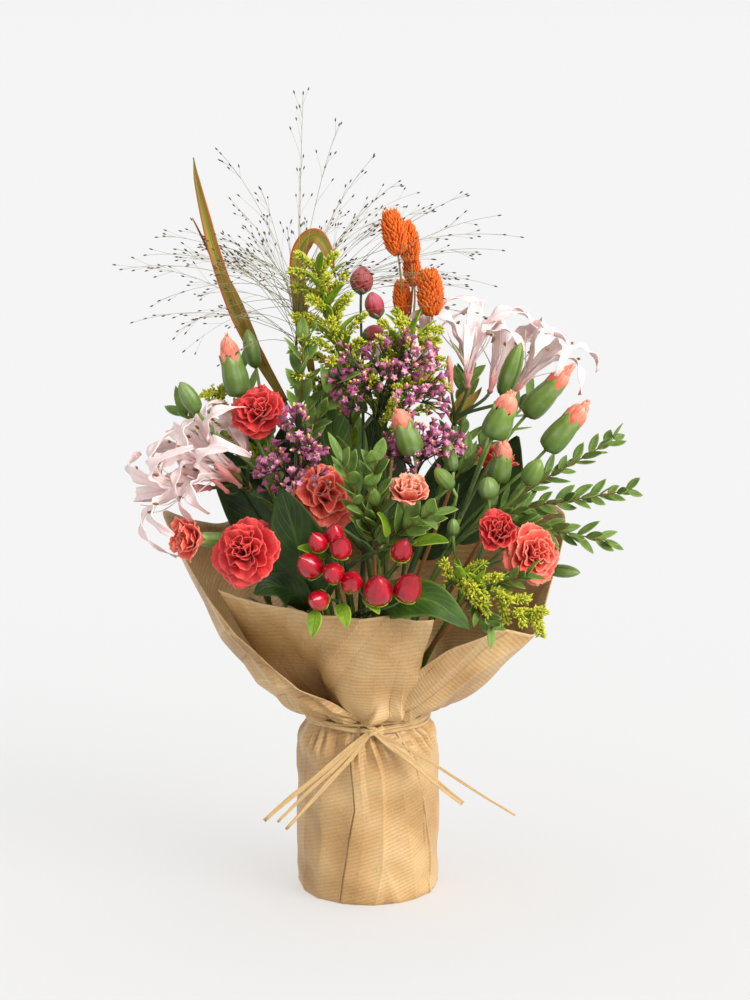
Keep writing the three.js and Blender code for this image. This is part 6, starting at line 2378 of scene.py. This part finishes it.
@dataclass
class BroadLeaf:
    """A large pointed leaf with a waved edge, on its own stem."""

    finishes: Finishes
    node: str
    width: float
    face: Point
    path: tuple
    light: bool = False

    def build(self) -> None:
        """Makes the leaf on a curve through its points."""
        points = at(*self.path)
        stem = Stem(self.node, self.path[0], 1.4, tuple(points[1] - points[0]), 0.6)
        rows, columns = 44, 17
        line = through(points, rows - 1)
        s = lengthwise(rows)
        u = crosswise(columns)
        edge = 0.9 * np.sin(15 * s + 2.2 * np.sign(u)) * np.abs(u) ** 3
        puckers = 0.35 * np.sin(TURN * (10 * s - 3.2 * np.abs(u))) * np.sin(math.pi * np.abs(u))
        widths = self.width * leaf_widths(rows, 0.42, 0.72, 0.07)
        face = at(self.face)
        blade = blades(line, widths, face, fold=0.16, ripple=edge + puckers, thick=0.55, columns=columns)
        rib = tubes(line - unit(face) * 0.5, np.linspace(1.0, 0.25, rows), 6, 0.2)
        fin = self.finishes
        finish = fin.light_leaf if self.light else fin.broad_leaf
        parts = [(stem.skin(), fin.stem), (blade, finish), (rib, finish)]
        make_piece(f"{self.node}_blade", parts, [self.node])


@dataclass
class Eucalyptus:
    """Orange-brown twigs with small grey-green leaves in opposite pairs, each pair a quarter turn on."""

    finishes: Finishes
    node: str
    fork: Point
    leaf: tuple[float, float]  # length and width
    twigs: tuple  # rows of (tip, the direction in which it leaves the fork)

    def build(self) -> None:
        """Makes the spray."""
        stem = Stem(self.node, self.fork, 1.5)
        fin = self.finishes
        parts = [(stem.skin(), fin.twig)]
        for index, (tip, leave) in enumerate(self.twigs):
            rng = np.random.default_rng(500 + index)
            tip, fork = at(tip), stem.curve[-1]
            line = bend(fork, at(leave), tip, tip - at(self.fork), 20)
            parts.append((tubes(line, np.linspace(0.85, 0.35, 21), 7, 0.3 * index), fin.twig))
            pairs = max(3, int(aim(fork, tip)[1] / (0.37 * self.leaf[0])))
            share = np.repeat((np.arange(pairs) + 0.9) / pairs, 2)
            roots, slopes = along(line, share)
            azimuth = np.tile([0, math.pi], pairs) + np.repeat(np.arange(pairs) * QUARTER, 2) - 0.4
            azimuth = azimuth + rng.uniform(-0.6, 0.6, 2 * pairs)
            across = np.stack([leaning(slope, turn, QUARTER) for slope, turn in zip(slopes, azimuth)])
            length = self.leaf[0] * blend(1.15, 0.85, share) * rng.uniform(0.7, 1.25, 2 * pairs)
            s = lengthwise(9)
            size = length[:, None, None]
            out = 0.68 * s - 0.14 * s**2 * rng.uniform(-0.6, 2.2, (2 * pairs, 1, 1))
            paths = roots[:, None] + size * (across[:, None] * out + slopes[:, None] * (0.82 * s))
            widths = self.leaf[1] * leaf_widths(9, 0.46, 0.8, 0.15) * rng.uniform(0.85, 1.15, (2 * pairs, 1))
            faces = 0.5 * slopes + at(0, -0.6, 0.6) + 0.3 * rng.normal(size=slopes.shape)
            picks = rng.uniform(0, 1, 2 * pairs)
            leaves = blades(paths, widths, faces, fold=0.25, thick=0.45, columns=5, picks=picks)
            parts.append((leaves, fin.eucalyptus_leaf))
        make_piece(f"{self.node}_spray", parts, [self.node])


# ---- The bouquet ----


def carnations(fin: Finishes) -> list[CarnationSpray]:
    """The five spray carnations.

    Args:
        fin: the finishes that they wear.

    Returns:
        The plants, ready to build.
    """
    return [
        CarnationSpray(
            fin, "carnation_left", (-58, -44, 188),
            (
                Bloom(1, (-72, -78, 230), (-0.35, -0.85, 0.42), 38, 0.95),
                Bloom(2, (-104, -60, 233), (-0.8, -0.55, 0.2), 29, 1, HALF_BLOOM, Tint.BRIGHT),
            ),
            (),
            ((0.62, (-0.4, -0.5, 0.9), 34), (0.85, (0.2, -0.9, 0.8), 28), (0.75, (-0.9, 0.2, 0.9), 34)),
        ),
        CarnationSpray(
            fin, "carnation_upper_left", (-54, -30, 258),
            (Bloom(3, (-65, -40, 306), (-0.25, -0.7, 0.6), 30, 0.86),),
            (
                Bud((-76, -14, 309), (-84, -15, 345), 16.5, 1, 1),
                Bud((-100, -36, 304), (-110, -38, 322), 11.5, 0.92),
                Bud((-67, 0, 324), (-72, 1, 347), 10.5, 1),
            ),
            ((0.8, (-0.7, -0.3, 0.9), 36), (0.9, (0.5, -0.5, 0.9), 30), (0.7, (-0.2, -0.9, 0.7), 30)),
        ),
        CarnationSpray(
            fin, "carnation_centre", (8, -34, 224),
            (
                Bloom(4, (-24, -57, 260), (0.2, -0.85, 0.5), 38, 0.85, FULL_BLOOM, Tint.BRIGHT),
                Bloom(5, (24, -78, 264), (0.05, -0.4, 0.9), 27, 0.9, HALF_BLOOM, Tint.SALMON),
            ),
            (
                Bud((27, -60, 283), (17, -61, 311), 16, 1, 2), Bud((49, -72, 266), (39, -76, 278), 10, 0.85),
                Bud((50, -54, 272), (46, -54, 291), 9, 1),
            ),
            ((0.7, (0.5, -0.6, 0.9), 34), (0.85, (-0.5, -0.5, 1), 30), (0.95, (0.7, 0.2, 1), 32)),
        ),
        CarnationSpray(
            fin, "carnation_right_high", (56, -24, 240), (),
            (
                Bud((73, -46, 290), (84, -47, 317), 18.5, 0.95, 3),
                Bud((94, -17, 298), (121, -19, 328), 15.5, 0.9, 4),
                Bud((105, -40, 282), (129, -44, 311), 16.5, 0.8, 5),
                Bud((77, -35, 261), (81, -37, 287), 14.5, 0.7, 6),
                Bud((80, -12, 309), (91, -12, 341), 13, 1), Bud((93, -52, 264), (101, -55, 279), 13, 0.75),
            ),
            ((0.75, (0.9, 0.2, 0.8), 38), (0.9, (0.1, 0.3, 1), 34), (0.8, (0.2, -0.8, 1), 32)),
        ),
        CarnationSpray(
            fin, "carnation_right_low", (62, -38, 204),
            (
                Bloom(6, (99, -56, 223), (0.4, -0.85, 0.3), 33, 1, FULL_BLOOM, Tint.BRIGHT),
                Bloom(7, (76, -68, 239), (-0.2, -0.85, 0.5), 26, 0.95, HALF_BLOOM),
                Bloom(8, (77, 10, 263), (0.15, 0.05, 1), 30, 0.85, HALF_BLOOM),
            ),
            (
                Bud((71, -58, 257), (70, -61, 270), 13, 0.9), Bud((108, -36, 208), (126, -42, 208), 8.5, 0.8),
                Bud((50, -62, 236), (50, -65, 246), 8, 0.75),
            ),
            ((0.7, (0.9, -0.4, 0.7), 34), (0.9, (-0.3, -0.7, 1), 30), (0.8, (0.8, 0.5, 0.9), 36)),
        ),
    ]


def nerines(fin: Finishes) -> list[Nerine]:
    """The two nerine umbels.

    Args:
        fin: the finishes that they wear.

    Returns:
        The plants, ready to build.
    """
    return [
        Nerine(
            fin, "nerine_left", (-70, -8, 250), (-0.75, -0.15, 0.6), ((-70, -9, 251), (-97, -6, 276)),
            (
                Floret((-78, -22, 266), (-0.7, -0.45, 0.55), 40, 0),
                Floret((-95, -27, 256), (-0.9, -0.35, 0.05), 41, 0.5),
                Floret((-84, -10, 262), (-0.75, 0.35, 0.55), 38, 0.3),
                Floret((-72, -12, 272), (-0.3, -0.2, 0.95), 28, 0.2),
                Floret((-82, -30, 262), (-0.75, -0.5, 0.3), 34, 0.5),
            ),
            (((-84, -34, 256), (-104, -42, 277)), ((-76, -34, 259), (-90, -44, 275))),
        ),
        Nerine(
            fin, "nerine_right", (52, 14, 286), (0.1, -0.1, 1), ((52, 14, 287), (66, 20, 310)),
            (
                Floret((39, 6, 314), (-0.35, -0.2, 0.9), 40, 0.2),
                Floret((60, 8, 312), (0.05, -0.1, 1), 42, 0),
                Floret((74, 14, 308), (0.3, 0.3, 0.9), 40, 0.4),
                Floret((88, 12, 306), (0.55, 0, 0.8), 42, 0.1),
            ),
            (((50, -2, 310), (48, -4, 332)),), grow=1.68, seed=11,
        ),
    ]


def grasses(fin: Finishes) -> list[OrangeHeads | FountainGrass | StrapLeaf]:
    """The grasses and the strap leaves.

    Args:
        fin: the finishes that they wear.

    Returns:
        The plants, ready to build.
    """
    return [
        OrangeHeads(fin),
        FountainGrass(fin),
        StrapLeaf(
            fin, "strap_leaf_tall",
            (
                (-50, 16, 300), (-66, 17, 328), (-79, 17, 354), (-90, 18, 385), (-97, 19, 412),
                (-102, 20, 434), (-104, 22, 447),
            ),
            (4, 7.5, 8, 7.2, 5.8, 3.4, 0),
            (
                (((-62, 14, 322), (-70, 13, 344), (-80, 13, 367), (-90, 14, 385)), 3.4),
                (((-60, 18, 320), (-82, 20, 362), (-95, 21, 390), (-105, 22, 411)), 1.4),
            ),
        ),
        StrapLeaf(
            fin, "strap_leaf_folded",
            (
                (-34, 20, 318), (-40, 19, 352), (-42, 17, 384), (-37, 14, 398), (-30, 11, 401), (-24, 8, 393),
                (-19, 6, 377),
            ),
            (4, 8.5, 9.5, 9.5, 9, 6.5, 0),
        ),
    ]


def fillers(fin: Finishes) -> list[Goldenrod | Limonium | Hypericum | CrimsonBuds]:
    """The small flowers and the berries.

    Args:
        fin: the finishes that they wear.

    Returns:
        The plants, ready to build.
    """
    return [
        Goldenrod(fin, "goldenrod_top", (-10, -13, 292), (-31, -16, 386), 27, 43, 1),
        Goldenrod(fin, "goldenrod_centre", (10, -20, 282), (26, -18, 346), 28, 49, 2),
        Goldenrod(fin, "goldenrod_low_right", (46, -64, 203), (100, -76, 188), 16, 22, 3),
        Goldenrod(fin, "goldenrod_left", (-62, -2, 262), (-92, -8, 310), 13, 18, 4),
        Limonium(fin, "limonium_centre", (2, -30, 282), (12, -38, 320), (32, 15, 22), 19, 5),
        Limonium(fin, "limonium_low", (28, -40, 262), (30, -50, 284), (20, 10, 11), 17, 6),
        Limonium(fin, "limonium_left", (-46, -22, 258), (-42, -55, 272), (18, 12, 28), 17, 7),
        Hypericum(fin),
        CrimsonBuds(fin),
    ]


def broad_leaves(fin: Finishes) -> list[BroadLeaf]:
    """The large leaves: front ones over the paper's lip, back ones behind the blooms.

    Args:
        fin: the finishes that they wear.

    Returns:
        The plants, ready to build.
    """
    rows = (
        ("front_left", 39, (-0.1, -0.97, 0.25),
         ((-33, -54, 190), (-37, -66, 212), (-42, -73, 238), (-50, -75, 266))),
        ("front_low", 24, (0.15, -0.9, 0.4), ((4, -58, 189), (18, -75, 200), (38, -84, 201), (60, -89, 186))),
        ("left_low", 20, (-0.3, -0.8, 0.5),
         ((-37, -54, 188), (-44, -67, 202), (-55, -76, 208), (-66, -81, 205))),
        ("back_left", 42, (-0.4, 0.9, 0.2), ((-30, 42, 196), (-38, 55, 220), (-48, 64, 246), (-54, 66, 274))),
        ("back_high", 40, (-0.1, 1, 0.3), ((-16, 30, 232), (-19, 42, 258), (-22, 52, 286), (-22, 54, 314))),
        ("back_far_right", 36, (0.7, 0.7, 0.2), ((54, 26, 210), (68, 34, 228), (82, 40, 250), (92, 40, 274))),
        ("back_far_left", 36, (-0.7, 0.7, 0.2),
         ((-50, 24, 208), (-66, 28, 226), (-80, 29, 248), (-92, 26, 268))),
        ("back", 42, (0, 1, 0.2), ((2, 48, 198), (4, 63, 222), (6, 76, 250), (4, 78, 280))),
        ("back_right", 40, (0.4, 0.9, 0.2), ((34, 40, 196), (44, 53, 220), (54, 62, 246), (62, 64, 270))),
    )
    light = ("front_low", "back_high")
    return [BroadLeaf(fin, f"broad_leaf_{name}", *row, name in light) for name, *row in rows]


def eucalypts(fin: Finishes) -> list[Eucalyptus]:
    """The sprays of small leaves.

    Args:
        fin: the finishes that they wear.

    Returns:
        The plants, ready to build.
    """
    large, middling, small = (20, 7.2), (19, 6.6), (14, 4.7)
    rows = (
        ("right", (72, -34, 236), small,
         (153, -42, 258), (0.8, -0.1, 0.5), (146, -26, 286), (0.7, 0.1, 0.8),
         (140, -52, 230), (0.9, -0.2, 0.1)),
        ("upper_left", (-40, -28, 276), large,
         (-38, -30, 342), (0, 0, 1), (-18, -36, 322), (0.3, -0.1, 0.8)),
        ("front", (4, -58, 226), (19, 7.4),
         (-14, -84, 282), (-0.1, -0.5, 0.9), (4, -82, 284), (0.1, -0.4, 0.9),
         (37, -90, 255), (0.6, -0.6, 0.6)),
        ("low_right", (58, -54, 194), small,
         (93, -72, 214), (0.7, -0.2, 0.8), (72, -86, 186), (0.4, -0.8, 0.1)),
        ("back_left", (-52, 34, 240), middling,
         (-112, 48, 286), (-0.7, 0.2, 0.6), (-78, 62, 312), (-0.4, 0.4, 0.8)),
        ("back_right", (52, 40, 246), middling,
         (100, 66, 292), (0.6, 0.3, 0.7), (64, 80, 322), (0.2, 0.5, 0.9)),
    )
    return [
        Eucalyptus(fin, f"eucalyptus_{name}", fork, leaf, tuple(zip(ways[::2], ways[1::2])))
        for name, fork, leaf, *ways in rows
    ]


class Receives(Enum):
    """What takes a lamp's light, as Blender calls it."""

    FLOOR = "INCLUDE"
    BOUQUET = "EXCLUDE"


@dataclass
class Studio:
    """A pale floor, soft light, and a camera at the photograph's angle."""

    finishes: Finishes
    eye: Point = (4.3, -1900, 660)
    pitch: float = 12.385  # degrees below the horizon
    lens: float = 116.1
    sensor: float = 36.0
    floor_reach: float = 120.0  # metres
    sky: float = 0.76
    key: float = 3.6
    key_turn: Point = (57, 0, 50)
    softness: float = 40.0  # degrees that a lamp's disc takes up
    floor_wash: float = 2.09  # an even light that the floor alone takes, so that shadows on it stay faint
    floor_key: float = 0.6

    def camera(self) -> None:
        """Places the camera."""
        data = bpy.data.cameras.new("camera")
        data.lens = self.lens
        data.sensor_width = self.sensor
        camera = bpy.data.objects.new("camera", data)
        camera.location = [c * MM for c in self.eye]
        camera.rotation_euler = (math.radians(90 - self.pitch), 0, 0)
        bpy.context.scene.collection.objects.link(camera)
        bpy.context.scene.camera = camera

    def floor(self) -> Object:
        """Lays the floor.

        Returns:
            The new object.
        """
        reach = self.floor_reach
        mesh = bpy.data.meshes.new("floor")
        corners = [(x * reach, y * reach, 0) for x, y in ((-1, -1), (1, -1), (1, 1), (-1, 1))]
        mesh.from_pydata(corners, [], [(0, 1, 2, 3)])
        mesh.materials.append(self.finishes.floor)
        floor = bpy.data.objects.new("floor", mesh)
        bpy.context.scene.collection.objects.link(floor)
        return floor

    def lamp(
        self, name: str, strength: float, turn: Point, floor: Object, to: Receives,
        shadows: bool = True,
    ) -> None:
        """Hangs a broad sun.

        Args:
            name: its name.
            strength: watts for each square metre.
            turn: its turn from straight down, in degrees.
            floor: the floor.
            to: what takes its light.
            shadows: whether the bouquet casts its shadow in it.
        """
        light = bpy.data.lights.new(name, "SUN")
        light.energy = strength
        light.angle = math.radians(self.softness)
        lamp = bpy.data.objects.new(name, light)
        lamp.rotation_euler = [math.radians(a) for a in turn]
        bpy.context.scene.collection.objects.link(lamp)
        taken = bpy.data.collections.new(f"{name}_takes")
        taken.objects.link(floor)
        taken.collection_objects[0].light_linking.link_state = to.value
        lamp.light_linking.receiver_collection = taken
        if not shadows:
            lamp.light_linking.blocker_collection = taken

    def lights(self, floor: Object) -> None:
        """Sets a white sky, a broad key from the right, and the floor's own wash.

        Args:
            floor: the floor, which takes lamps of its own.
        """
        world = bpy.data.worlds.new("studio")
        world.use_nodes = True
        sky = world.node_tree.nodes["Background"].inputs
        sky["Color"].default_value = (1, 1, 1, 1)
        sky["Strength"].default_value = self.sky
        bpy.context.scene.world = world
        self.lamp("key", self.key, self.key_turn, floor, Receives.BOUQUET)
        self.lamp("floor_key", self.floor_key, self.key_turn, floor, Receives.FLOOR)
        self.lamp("floor_wash", self.floor_wash, (0, 0, 0), floor, Receives.FLOOR, shadows=False)
        bpy.context.scene.view_settings.view_transform = "Standard"

    def build(self) -> None:
        """Makes the studio."""
        self.camera()
        self.lights(self.floor())


def main() -> None:
    """Builds the bouquet and its studio, and logs the faces of each piece."""
    logging.basicConfig(level=logging.INFO, format="%(name)s: %(message)s")
    fin = Finishes()
    Studio(fin).build()
    KraftWrap(fin).build()
    RaffiaTie(fin).build()
    for plants in (carnations, nerines, grasses, fillers, broad_leaves, eucalypts):
        for plant in plants(fin):
            plant.build()
        log.info("%s are in place", plants.__name__)
    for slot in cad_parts["water_pack"].material_slots:
        slot.material = fin.water_bag


if __name__ == "__main__":
    main()
